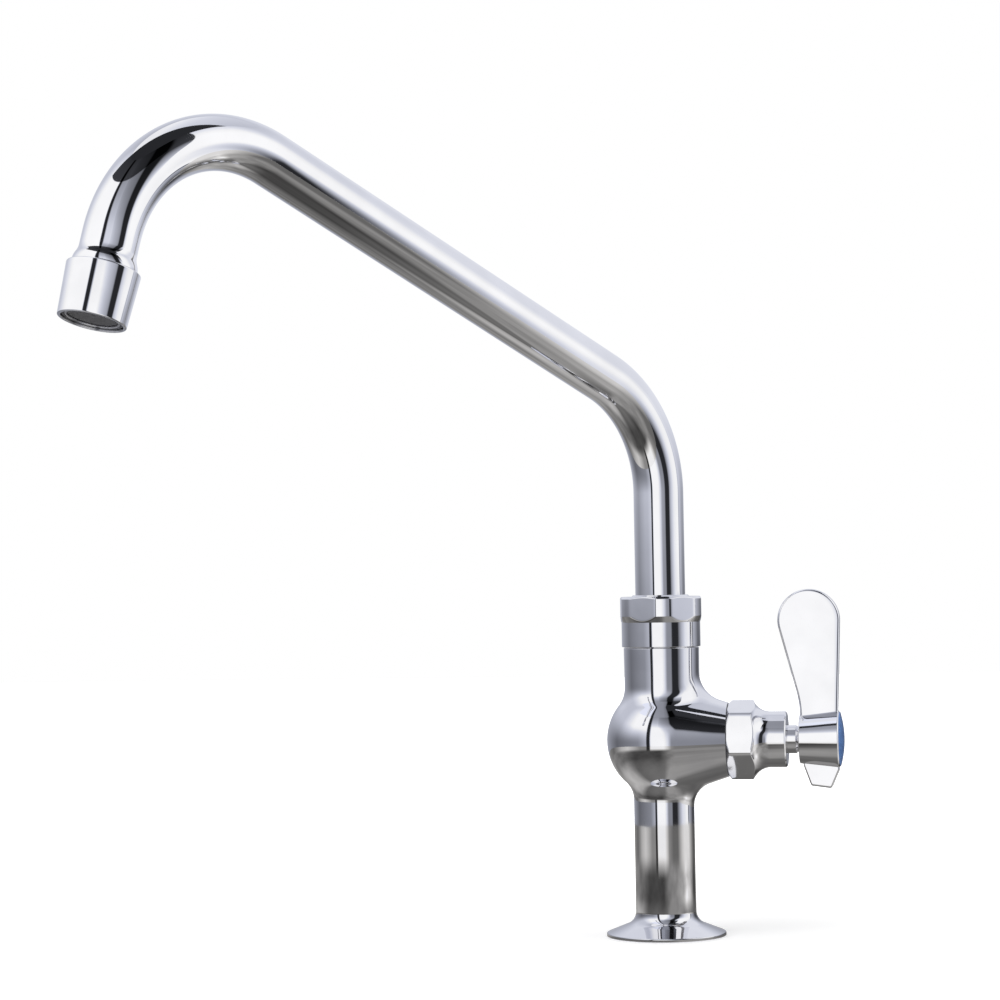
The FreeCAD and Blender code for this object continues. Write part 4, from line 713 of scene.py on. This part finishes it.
def buildScreen(s):
    # Plain weave: each wire is a straight run whose height is a wave, up over one wire and down under the next.
    count = int(s["ringInner"] / s["wirePitch"])
    offsets = np.arange(-count, count + 1) * s["wirePitch"]
    halfChord = np.sqrt(np.maximum(s["ringOuter"] ** 2 - offsets ** 2, s["shortestReach"] ** 2))
    reach = halfChord - s["wireEndGap"]
    along = np.linspace(-1, 1, s["wirePoints"])[None] * reach[:, None]
    sign = np.where(np.arange(len(offsets)) % 2 == 0, 1.0, -1.0)[:, None]
    wave = s["wireRadius"] * sign * np.cos(math.pi * along / s["wirePitch"])
    angles = fullTurn(s["wireSides"])
    rise = wave[..., None] + s["wireRadius"] * np.sin(angles)
    across = offsets[:, None, None] + s["wireRadius"] * np.cos(angles)
    along, across = np.broadcast_arrays(along[..., None], across)
    inward, side, other = (np.array(way) for way in outletAxis)
    wires = np.arange(len(offsets)) * s["wirePoints"] * s["wireSides"]
    faces = (gridFaces(s["wirePoints"], s["wireSides"]) + wires[:, None, None]).reshape(-1, 4)
    grids = []
    for first, second, flip in ((side, other, 1), (other, side, -1)):
        height = s["screenHeight"] + flip * rise
        points = (mouthCentre + along[..., None] * first + across[..., None] * second
                  + height[..., None] * inward)
        grids.append((points.reshape(-1, 3), faces))
    points, faces = joinGrids(grids)
    makePiece("outletMesh", points * mm, faces, screenFinish, "spout", ["outlet_screen"],
              creaseAngle=80)


buildCollar(aeratorSizes)
buildScreenRing(aeratorSizes)
buildScreen(aeratorSizes)
print("aerator made")

handleSizes = {
    "neckStart": 52.0, "neckRadius": 6.2, "neckRound": 0.9, "groove": 0.6, "grooveDepth": 0.7,
    "hubStart": 60.2, "hubEnd": 77.6, "hubStartRadius": 10.6, "hubEndRadius": 12.5, "hubChamfer": 0.5,
    "recessRadius": 9.6, "recessFloor": 69.0,
}
bladeSizes = {
    "thickness": 5.6, "edgeRound": 1.1, "crown": 2.2, "tip": (65.1, 52.0), "tipRadius": 13.6,
    "back": (60.6, 10.0), "backRadius": 45.0, "frontX": 77.1, "foot": 4.0, "lean": 14.85,
    "tipPoints": 72, "sweepPoints": 24, "spineRise": 2, "spineTurn": 6,
}
tailSizes = {
    "thickness": 5.6, "edgeRound": 0.8, "crown": 0.0, "cornerRound": 1.3,
    "corners": [(61.8, -11.5), (64.9, -20.2), (73.9, -21.4), (77.5, -13.2)], "root": -4.0,
    "rootSpan": (61.0, 77.3), "middle": 69.4, "middleRise": (-15.5, -8.0),
}
capSizes = {
    "hubEnd": 77.6, "edge": 0.4, "dome": 1.7, "radius": 11.9, "skirtRadius": 9.5, "skirt": 5.0,
    "rimRound": 0.25, "rimInset": 0.15, "seatGap": 0.02, "domeRows": 26,
}


def buildHub(s):
    profile = roundedLine([
        (0, s["neckStart"]), (s["neckRadius"], s["neckStart"], 0.3),
        (s["neckRadius"], s["hubStart"] - s["groove"] - s["neckRound"], 0.4),
        (s["neckRadius"] - s["grooveDepth"], s["hubStart"] - s["groove"], 0.15),
        (s["neckRadius"] - s["grooveDepth"], s["hubStart"]), (s["hubStartRadius"], s["hubStart"], 0.35),
        (s["hubEndRadius"], s["hubEnd"] - s["hubChamfer"], 0.3),
        (s["hubEndRadius"] - s["hubChamfer"], s["hubEnd"], 0.2),
        (s["recessRadius"], s["hubEnd"], 0.2), (s["recessRadius"], s["recessFloor"]), (0, s["recessFloor"]),
    ], spacing=1.2)
    return turnedGrid(profile, valveAxis, valveCentre, segments=144, closed=False)


def outlineNormals(outline):
    # Unit vectors square to the outline, pointing to its left as it runs.
    ahead = np.roll(outline, -1, axis=0) - outline
    behind = outline - np.roll(outline, 1, axis=0)
    ahead = ahead / np.maximum(np.linalg.norm(ahead, axis=1), tiny)[:, None]
    behind = behind / np.maximum(np.linalg.norm(behind, axis=1), tiny)[:, None]
    tangent = ahead + behind
    tangent = tangent / np.linalg.norm(tangent, axis=1)[:, None]
    return np.stack([-tangent[:, 1], tangent[:, 0]], axis=1)


def plateGrid(outline, spine, s, edgeRows=9, faceRows=8):
    # A plate with rounded edges: rows go from the front middle line over the edge to the back middle line.
    # Each row is the outline drawn in by an inset and raised by the edge's arc, then slides to the spine
    # while the face swells a little, so that it is not dead flat. Its thickest place has the full thickness.
    normals = outlineNormals(outline)
    half, edge, slope = s["thickness"] / 2, s["edgeRound"], math.radians(s["crown"])
    widths = np.linalg.norm(spine - (outline + normals * edge), axis=1)
    arc = np.linspace(0, math.pi / 2 - slope, edgeRows)
    inset = edge * (1 - np.cos(arc))
    lift = half + edge * (np.sin(arc) - np.sin(arc[-1])) - np.tan(slope) * widths.max() / 2
    rows = [np.column_stack([outline + normals * drawnIn, np.full(len(outline), raised)])
            for drawnIn, raised in zip(inset, lift)]
    start = rows[-1][:, :2]
    for q in np.linspace(0, 1, faceRows + 1)[1:]:
        flat = (1 - q) * start + q * spine
        rise = lift[-1] + np.tan(slope) * widths * (q - q * q / 2)
        rows.append(np.column_stack([flat, rise]))
    upper = np.stack(rows)
    lower = upper[::-1].copy()
    lower[..., 2] *= -1
    plate = np.concatenate([lower, upper])
    points = np.stack([plate[..., 0], -plate[..., 2], plate[..., 1] + valveHeight], axis=-1)
    return points.reshape(-1, 3), gridFaces(len(plate), len(outline))


def bladeOutline(s):
    # Round the paddle: tip arc, straight back edge at a tangent, large arc into the hub, foot, front edge.
    lean = math.radians(s["lean"])
    tip, back, radius = np.array(s["tip"]), np.array(s["back"]), s["backRadius"]
    tipAngles = np.linspace(0, math.pi + lean, s["tipPoints"])
    tipArc = tip + s["tipRadius"] * np.stack([np.cos(tipAngles), np.sin(tipAngles)], axis=1)
    sweepAngles = np.linspace(lean, 0, s["sweepPoints"])
    sweep = back - [radius, 0] + radius * np.stack([np.cos(sweepAngles), np.sin(sweepAngles)], axis=1)
    corners = [sweep[-1], (back[0], s["foot"]), (s["frontX"], s["foot"]), (s["frontX"], back[1])]
    foot = [np.linspace(start, end, count)[1:] for start, end, count in zip(corners, corners[1:], (5, 9, 5))]
    return np.concatenate([tipArc, np.linspace(tipArc[-1], sweep[0], 22)[1:-1], sweep, *foot,
                           np.linspace(corners[-1], tipArc[0], 34)[1:-1]])


def bladeSpine(outline, s):
    # For a point of the rim, the middle of the paddle at the same height, and the tip's centre near the tip.
    heights = np.clip(outline[:, 1], s["foot"] + s["spineRise"], s["tip"][1])
    backSide = outline[(outline[:, 0] < s["tip"][0]) & (outline[:, 1] <= s["tip"][1])]
    order = np.argsort(backSide[:, 1])
    backX = np.interp(heights, backSide[order, 1], backSide[order, 0])
    share = np.clip((heights - s["back"][1]) / (s["tip"][1] - s["back"][1]), 0, 1)
    frontX = s["frontX"] + (s["tip"][0] + s["tipRadius"] - s["frontX"]) * share
    nearTip = np.clip((heights - s["tip"][1] + s["spineTurn"]) / s["spineTurn"], 0, 1)
    return np.stack([(backX + frontX) / 2 * (1 - nearTip) + s["tip"][0] * nearTip, heights], axis=1)


def buildHandle(hub, blade, tail):
    paddleLine = bladeOutline(blade)
    paddle = plateGrid(paddleLine, bladeSpine(paddleLine, blade), blade)
    (backX, frontX), root = tail["rootSpan"], tail["root"]
    corners = [(*corner, tail["cornerRound"]) for corner in tail["corners"]]
    tailLine = roundedLine([(backX, root), *corners, (frontX, root)], closed=True, spacing=0.8, edgeGap=0.3)
    rises = np.clip(tailLine[:, 1], *tail["middleRise"])
    middle = np.stack([np.full(len(tailLine), tail["middle"]), rises], axis=1)
    points, faces = joinGrids([buildHub(hub), paddle, plateGrid(tailLine, middle, tail)])
    makePiece("leverHandle", points * mm, faces, handleChrome, "handle", ["lever_handle"])


def buildCap(s):
    # A shallow dome, part of a ball whose radius comes from the dome's rise, on a skirt in the hub.
    ball = (s["radius"] ** 2 + s["dome"] ** 2) / (2 * s["dome"])
    radii = np.linspace(0, s["radius"] - s["rimInset"], s["domeRows"])
    edge, seat = s["hubEnd"] + s["edge"], s["hubEnd"] + s["seatGap"]
    dome = np.stack([radii, edge + s["dome"] - ball + np.sqrt(ball ** 2 - radii ** 2)], axis=1)
    side = roundedLine([
        tuple(dome[-1]), (s["radius"], edge, s["rimRound"]), (s["radius"], seat, 0.1),
        (s["skirtRadius"], seat), (s["skirtRadius"], s["hubEnd"] - s["skirt"]), (0, s["hubEnd"] - s["skirt"]),
    ], spacing=1.5)
    points, faces = turnedGrid(np.concatenate([dome, side[1:]]), valveAxis, valveCentre, closed=False)
    makePiece("indexCap", points * mm, faces, capFinish, "handle", ["index_cap"])


buildHandle(handleSizes, bladeSizes, tailSizes)
buildCap(capSizes)
print("handle made")

cameraSizes = {
    "lens": 100.8, "sensor": 36.0, "distance": 1238.3, "right": 70.1, "drop": 160.8,
    "pitch": -1.5, "roll": -1.0, "azimuth": 10.0,
}
studioSizes = {
    "floorHalf": 3.0, "floorColour": (0.86, 0.86, 0.86), "floorGrain": 8, "lift": 0.3, "liftSpan": (0.06, 0.30),
    "worldGrey": 0.5, "lampAim": 0.15,
    # name, azimuth from the camera to the right, rise, distance, size, power
    "lamps": [("keySoftbox", -55, 38, 1.6, 1.2, 9), ("fillSoftbox", 78, 30, 1.8, 1.2, 6),
              ("topSoftbox", 10, 80, 1.7, 1.6, 8)],
}
# Nine glow levels of the tent and the table, which only the metal sees, paint its reflections. Between two
# places one tone runs into the next.
glowTones = {
    "black": 0.025, "dark": 0.07, "dusk": 0.15, "grey": 0.28, "smoke": 0.4, "mid": 0.5, "soft": 0.65,
    "pale": 0.8, "white": 0.97,
}
# The tent's wall glows and only the metal sees it, so its bands are painted reflections: a white window in
# front between a narrow black gap on its left and a wide one on its right, painted white cloth on the far right
# with a dark pole behind it, and painted dusky cloth on the left.
tentSizes = {
    "radius": 0.55, "height": 1.15, "sides": 96, "strength": 1.1, "greyTint": (0.85, 0.88, 1.0),
    "darkLevel": 0.027,
    # tones of the wall by azimuth from the camera to the right, at the table and higher up
    "lowWall": [(-180, "mid"), (-111, "dusk"), (-55, "grey"), (-38, "mid"), (-36.8, "black"), (-30.4, "black"),
                (-29, "white"), (-2, "white"), (6, "pale"), (13, "grey"), (26, "grey"), (28.5, "black"),
                (46.5, "black"), (60, "mid"), (70, "pale"), (98, "white"), (99.5, "dark"), (102.5, "dark"),
                (104, "mid"), (130, "dark"), (148, "dark"), (174, "mid"), (180, "mid")],
    "highWall": [(-180, "pale"), (-127, "soft"), (-105, "soft"), (-90, "pale"), (-70, "white"), (-38, "white"),
                 (-36.8, "black"), (-30.4, "black"), (-29, "white"), (-5, "white"), (8, "soft"), (24, "smoke"),
                 (28, "black"), (46, "black"), (50, "pale"), (60, "white"), (86, "white"), (116, "pale"),
                 (180, "pale")],
    "turnToHigh": (0.05, 0.38), "leanSpan": (0.22, 0.5), "leanEdge": -14.0, "lean": 14.0,
    # how the wall fades with height, first all round and then in zones from one azimuth to another
    "fade": [(0.0, 1.0), (0.7, 1.0), (1.15, 0.8)],
    "zones": [(-79.5, -34, [(0.0, 1.0), (0.7195, 1.0), (0.7205, 0.05), (1.15, 0.03)]),
              (-34, 46, [(0.0, 1.0), (0.36, 1.0), (0.5, 0.6), (0.6, 0.45), (0.7195, 0.36), (0.7205, 0.05),
                         (1.15, 0.03)]),
              (46, 62, [(0.0, 1.0), (0.42, 1.0), (0.5, 0.55), (0.6, 0.3), (0.68, 0.05), (1.15, 0.03)])],
    # tones of the roof from left to right, up to an edge beyond which it is dark
    "roof": [(-0.6, "white"), (-0.3, "white"), (0.0, "pale"), (0.6, "soft")], "roofEdge": 0.10,
}
# A dim panel under the roof's dark half lights all but the spout's tube.
panelSizes = {
    "drop": 0.001, "foot": 0.72, "turns": (-79.5, 30), "columns": 28,
    "level": [(-180, 1.0), (-39, 1.0), (-37, 0.02), (-31, 0.02), (-29.5, 0.35), (0, 0.32), (12, 0.22),
              (16, 0.0), (180, 0.0)],
}
tableSizes = {
    "radius": 0.549, "sides": 96, "lift": 0.0004, "greyTint": (1.0, 0.98, 0.95),
    # glow tones of the painted table reflection by azimuth, close to the foot, farther out, and at its rim
    "near": [(-180, "smoke"), (-165, "mid"), (-135, "mid"), (-95, "smoke"), (-72, "dusk"), (0, "dusk"),
             (14, "grey"), (45, "grey"), (64, "dusk"), (160, "dusk"), (180, "smoke")],
    "far": [(-180, "smoke"), (-105, "dusk"), (-88, "dusk"), (-67, "dark"), (-10, "dark"), (20, "grey"),
            (38, "grey"), (66, "smoke"), (80, "pale"), (98, "soft"), (124, "dark"), (142, "dark"),
            (156, "smoke"), (180, "smoke")],
    "rim": [(-180, "mid"), (-158, "grey"), (-127, "dusk"), (-112, "grey"), (-98, "mid"), (-80, "soft"),
            (-67, "mid"), (-52, "grey"), (-38, "grey"), (-36.8, "black"), (-30.4, "black"), (-29, "white"),
            (-2, "white"), (6, "soft"), (13, "grey"), (28.5, "dusk"), (46.5, "dusk"), (66, "soft"),
            (76, "pale"), (98, "pale"), (112, "smoke"), (126, "dusk"), (142, "dark"), (158, "grey"),
            (180, "mid")],
    "turnToFar": (0.07, 0.17), "turnToRim": (0.25, 0.37), "cloudScale": 9, "cloudDetail": 4, "cloudDepth": 0.7,
}


def viewAxes():
    # Unit vectors from the object to the camera and to the camera's right, both level.
    turn = math.radians(cameraSizes["azimuth"])
    return np.array([math.sin(turn), -math.cos(turn), 0.0]), np.array([math.cos(turn), math.sin(turn), 0.0])


def wayFromView(azimuth, rise):
    toCamera, toRight = viewAxes()
    level = math.cos(math.radians(azimuth)) * toCamera + math.sin(math.radians(azimuth)) * toRight
    return level * math.cos(math.radians(rise)) + np.array([0, 0, math.sin(math.radians(rise))])


def addCamera(s):
    toCamera, toRight = viewAxes()
    camera = bpy.data.objects.new("photoCamera", bpy.data.cameras.new("photoCamera"))
    bpy.context.scene.collection.objects.link(camera)
    camera.data.lens = s["lens"]
    camera.data.sensor_width = s["sensor"]
    camera.location = (toCamera * s["distance"] - toRight * s["right"] + np.array([0, 0, s["drop"]])) * mm
    look = (Matrix.Rotation(math.radians(s["azimuth"]), 4, "Z")
            @ Matrix.Rotation(math.radians(90 - s["pitch"]), 4, "X")
            @ Matrix.Rotation(math.radians(s["roll"]), 4, "Z"))
    camera.rotation_euler = look.to_euler()
    bpy.context.scene.camera = camera


def stageMesh(name, points, faces, material):
    mesh = bpy.data.meshes.new(name)
    mesh.from_pydata([tuple(point) for point in points], [], [tuple(face) for face in faces])
    piece = bpy.data.objects.new(name, mesh)
    bpy.context.scene.collection.objects.link(piece)
    mesh.materials.append(material)
    return piece


def metalOnly(name, points, faces, material):
    # A piece of the studio that only the polished metal sees, with its own -Y toward the camera.
    piece = stageMesh(name, points, faces, material)
    piece.rotation_euler = (0, 0, math.radians(cameraSizes["azimuth"]))
    piece.visible_camera = False
    piece.visible_diffuse = False
    piece.visible_shadow = False
    piece.visible_transmission = False
    piece.visible_volume_scatter = False
    return piece


def calculate(nodes, links, operation, *values, clamp=False):
    node = nodes.new("ShaderNodeMath")
    node.operation = operation
    node.use_clamp = clamp
    for socket, value in zip(node.inputs, values):
        if isinstance(value, (int, float)):
            socket.default_value = value
        else:
            links.new(value, socket)
    return node.outputs[0]


def seenRay(nodes, links):
    # One where the ray comes from the camera, from a glossy surface or through glass.
    path = nodes.new("ShaderNodeLightPath")
    seen = calculate(nodes, links, "ADD", path.outputs["Is Camera Ray"], path.outputs["Is Glossy Ray"],
                     clamp=True)
    return calculate(nodes, links, "ADD", seen, path.outputs["Is Transmission Ray"], clamp=True)


def greyRamp(nodes, links, source, stops, low, high):
    # Brightness read off a list of (place, tone or grey level) pairs.
    ramp = nodes.new("ShaderNodeValToRGB")
    links.new(mapSpan(nodes, links, source, (low, high)), ramp.inputs["Fac"])
    elements = ramp.color_ramp.elements
    for place, tone in stops[1:-1]:
        elements.new((place - low) / (high - low))
    for element, (place, tone) in zip(elements, stops):
        grey = glowTones.get(tone, tone)
        element.position = (place - low) / (high - low)
        element.color = (grey, grey, grey, 1)
    return ramp.outputs["Color"]


def objectPlace(nodes, links):
    # The place on the piece, as one vector and as its three parts.
    place = nodes.new("ShaderNodeTexCoord").outputs["Object"]
    split = nodes.new("ShaderNodeSeparateXYZ")
    links.new(place, split.inputs["Vector"])
    return place, split.outputs


def distanceOf(nodes, links, place):
    length = nodes.new("ShaderNodeVectorMath")
    length.operation = "LENGTH"
    links.new(place, length.inputs[0])
    return length.outputs["Value"]


def emitter(name, brightness, greyTint):
    # brightness builds a chain of nodes and gives back its last output. The tint fades out in near-whites.
    material, nodes, links, shader = newMaterial(name)
    shader.inputs["Base Color"].default_value = (0, 0, 0, 1)
    shader.inputs["Specular IOR Level"].default_value = 0.0
    level = brightness(nodes, links, *objectPlace(nodes, links))
    mix = nodes.new("ShaderNodeMix")
    mix.data_type = "RGBA"
    mix.inputs["A"].default_value = (*greyTint, 1)
    mix.inputs["B"].default_value = (1, 1, 1, 1)
    links.new(calculate(nodes, links, "POWER", level, 8.0, clamp=True), mix.inputs["Factor"])
    links.new(mix.outputs["Result"], shader.inputs["Emission Color"])
    links.new(level, shader.inputs["Emission Strength"])
    return material


def azimuthOf(nodes, links, axis):
    # Degrees from the camera's side to the right, in the piece's own frame.
    toward = calculate(nodes, links, "MULTIPLY", axis["Y"], -1.0)
    azimuth = calculate(nodes, links, "ARCTAN2", axis["X"], toward)
    return calculate(nodes, links, "MULTIPLY", azimuth, 180 / math.pi)


def between(nodes, links, first, second, share):
    gap = calculate(nodes, links, "SUBTRACT", second, first)
    return calculate(nodes, links, "MULTIPLY_ADD", gap, share, first)


def shareAlong(nodes, links, source, span):
    return mapSpan(nodes, links, source, span, interpolation="SMOOTHSTEP")


def addFloor(s):
    # A pale matte floor. What the camera or the metal sees of it is lifted to white, less near the object,
    # where its shadow is kept.
    material, nodes, links, shader = newMaterial("paleFloor")
    grain = noisePattern(nodes, links, s["floorGrain"])
    colour = s["floorColour"]
    paler = [part * 1.01 for part in colour]
    links.new(blendColours(nodes, links, grain, colour, paler), shader.inputs["Base Color"])
    shader.inputs["Roughness"].default_value = 0.9
    shader.inputs["Specular IOR Level"].default_value = 0.1
    shader.inputs["Emission Color"].default_value = (1, 1, 1, 1)
    away = distanceOf(nodes, links, nodes.new("ShaderNodeTexCoord").outputs["Object"])
    farOff = shareAlong(nodes, links, away, s["liftSpan"])
    lift = calculate(nodes, links, "MULTIPLY_ADD", farOff, 1 - s["lift"], s["lift"])
    glow = calculate(nodes, links, "MULTIPLY", seenRay(nodes, links), lift)
    links.new(glow, shader.inputs["Emission Strength"])
    # From below the floor lets the eye through to the foot.
    fromBelow = nodes.new("ShaderNodeNewGeometry").outputs["Backfacing"]
    links.new(calculate(nodes, links, "SUBTRACT", 1.0, fromBelow), shader.inputs["Alpha"])
    size = s["floorHalf"]
    corners = [(-size, -size, 0), (size, -size, 0), (size, size, 0), (-size, size, 0)]
    stageMesh("paleFloor", corners, [(0, 1, 2, 3)], material)


def lineOf(nodes, links, source, edge, rising=True):
    # 1 on one side of an edge and 0 on the other.
    return calculate(nodes, links, "GREATER_THAN" if rising else "LESS_THAN", source, float(edge))


def rimOf(s, height):
    # A circle of points at one height.
    turns = fullTurn(s["sides"])
    across = s["radius"] * np.column_stack([np.cos(turns), np.sin(turns)])
    return np.column_stack([across, np.full(s["sides"], height)])


def addTent(s):
    # A round tent that glows and that only the metal sees, painting its reflections: two dark gaps beside its
    # front window.
    def wallBrightness(nodes, links, place, axis):
        azimuth = azimuthOf(nodes, links, axis)
        rise = calculate(nodes, links, "MULTIPLY", shareAlong(nodes, links, axis["Z"], s["leanSpan"]),
                         lineOf(nodes, links, azimuth, s["leanEdge"]))
        azimuth = calculate(nodes, links, "MULTIPLY_ADD", rise, s["lean"], azimuth)
        low, high = (greyRamp(nodes, links, azimuth, s[part], -180, 180) for part in ("lowWall", "highWall"))
        wall = between(nodes, links, low, high, shareAlong(nodes, links, axis["Z"], s["turnToHigh"]))
        fade = greyRamp(nodes, links, axis["Z"], s["fade"], 0, s["height"])
        for start, end, stops in s["zones"]:
            zone = calculate(nodes, links, "MULTIPLY", lineOf(nodes, links, azimuth, start),
                             lineOf(nodes, links, azimuth, end, False))
            inZone = greyRamp(nodes, links, axis["Z"], stops, 0, s["height"])
            fade = between(nodes, links, fade, inZone, zone)
        faded = calculate(nodes, links, "MULTIPLY", wall, fade)
        return calculate(nodes, links, "MULTIPLY", faded, s["strength"])

    def roofBrightness(nodes, links, place, axis):
        light = greyRamp(nodes, links, axis["X"], s["roof"], s["roof"][0][0], s["roof"][-1][0])
        return between(nodes, links, s["darkLevel"], light, lineOf(nodes, links, axis["Y"], -s["roofEdge"]))

    foot, top = rimOf(s, 0), rimOf(s, s["height"])
    # Painted reflections: the wall and the roof glow, and only the metal sees them.
    wallGlow = emitter("tentGlow", wallBrightness, s["greyTint"])
    metalOnly("tentWall", np.concatenate([foot, top]), gridFaces(2, s["sides"]), wallGlow)
    metalOnly("tentRoof", top, [range(s["sides"])], emitter("tentRoof", roofBrightness, s["greyTint"]))


def addTable(s):
    # A round glowing disc on the table that only the metal sees, a painted reflection of a darker table; its
    # tone goes by azimuth and distance, clouded a little except at its rim.
    def tableReflectionBrightness(nodes, links, place, axis):
        azimuth = azimuthOf(nodes, links, axis)
        away = distanceOf(nodes, links, place)
        near, far, rim = (greyRamp(nodes, links, azimuth, s[part], -180, 180)
                          for part in ("near", "far", "rim"))
        grey = between(nodes, links, near, far, shareAlong(nodes, links, away, s["turnToFar"]))
        cloud = noisePattern(nodes, links, s["cloudScale"], s["cloudDetail"])
        depth = s["cloudDepth"]
        cloudy = calculate(nodes, links, "MULTIPLY_ADD", cloud, 2 * depth, 1 - depth)
        clouded = calculate(nodes, links, "MULTIPLY", grey, cloudy)
        return between(nodes, links, clouded, rim, shareAlong(nodes, links, away, s["turnToRim"]))

    # The disc glows to paint a darker table into the metal's reflections.
    tableGlow = emitter("paintedTableReflection", tableReflectionBrightness, s["greyTint"])
    metalOnly("paintedTableReflection", rimOf(s, s["lift"]), [range(s["sides"])], tableGlow)


def addPanel(s, tent):
    # A fan under the roof's dark half that hangs down along the wall. It glows and lets through what is
    # behind it, so the tube sees the dark roof where the rest sees the panel.
    material, nodes, links, shader = newMaterial("dimPanel")
    place, axis = objectPlace(nodes, links)
    level = greyRamp(nodes, links, azimuthOf(nodes, links, axis), s["level"], -180, 180)
    glow = nodes.new("ShaderNodeEmission")
    glow.inputs["Color"].default_value = (*tent["greyTint"], 1)
    links.new(level, glow.inputs["Strength"])
    both = nodes.new("ShaderNodeAddShader")
    links.new(glow.outputs["Emission"], both.inputs[0])
    links.new(nodes.new("ShaderNodeBsdfTransparent").outputs["BSDF"], both.inputs[1])
    output = next(node for node in nodes if node.type == "OUTPUT_MATERIAL")
    links.new(both.outputs["Shader"], output.inputs["Surface"])
    nodes.remove(shader)
    turns = np.radians(np.linspace(*s["turns"], s["columns"]))
    radius, top, edge = tent["radius"] - s["drop"], tent["height"] - s["drop"], tent["roofEdge"]
    ways = np.stack([np.sin(turns), -np.cos(turns)], axis=1)
    inner = ways * (edge / np.maximum(np.cos(turns), edge / radius))[:, None]
    rows = ((inner, top), (ways * radius, top), (ways * radius, s["foot"]))
    points = np.concatenate([np.column_stack([flat, np.full(len(flat), height)]) for flat, height in rows])
    panel = metalOnly("dimPanel", points, gridFaces(len(rows), s["columns"], closeColumns=False), material)
    unlit = ("spoutTube", "paleFloor", "paintedTableReflection", "tentWall", "tentRoof", "dimPanel")
    lit = bpy.data.collections.new("besideTube")
    for piece in bpy.context.scene.objects:
        if piece.type == "MESH" and piece.name not in unlit:
            lit.objects.link(piece)
    panel.light_linking.receiver_collection = lit


def addWorld(s):
    # White where the camera, the metal or glass looks, a plain grey level for the light it casts.
    world = bpy.data.worlds.new("studio")
    bpy.context.scene.world = world
    world.use_nodes = True
    nodes, links = world.node_tree.nodes, world.node_tree.links
    grey = s["worldGrey"]
    strength = calculate(nodes, links, "MULTIPLY_ADD", seenRay(nodes, links), 1 - grey, grey)
    nodes["Background"].inputs["Color"].default_value = (1, 1, 1, 1)
    links.new(strength, nodes["Background"].inputs["Strength"])


def addLamps(s):
    for name, azimuth, rise, distance, size, power in s["lamps"]:
        lamp = bpy.data.objects.new(name, bpy.data.lights.new(name, "AREA"))
        bpy.context.scene.collection.objects.link(lamp)
        lamp.data.size = size
        lamp.data.energy = power
        lamp.visible_glossy = False
        way = wayFromView(azimuth, rise)
        lamp.location = np.array([0, 0, s["lampAim"]]) + way * distance
        lamp.rotation_euler = Vector(way).to_track_quat("Z", "Y").to_euler()


addCamera(cameraSizes)
addFloor(studioSizes)
addTent(tentSizes)
addTable(tableSizes)
addPanel(panelSizes, tentSizes)
addWorld(studioSizes)
addLamps(studioSizes)
bpy.context.scene.view_settings.view_transform = "Standard"
print("studio made")
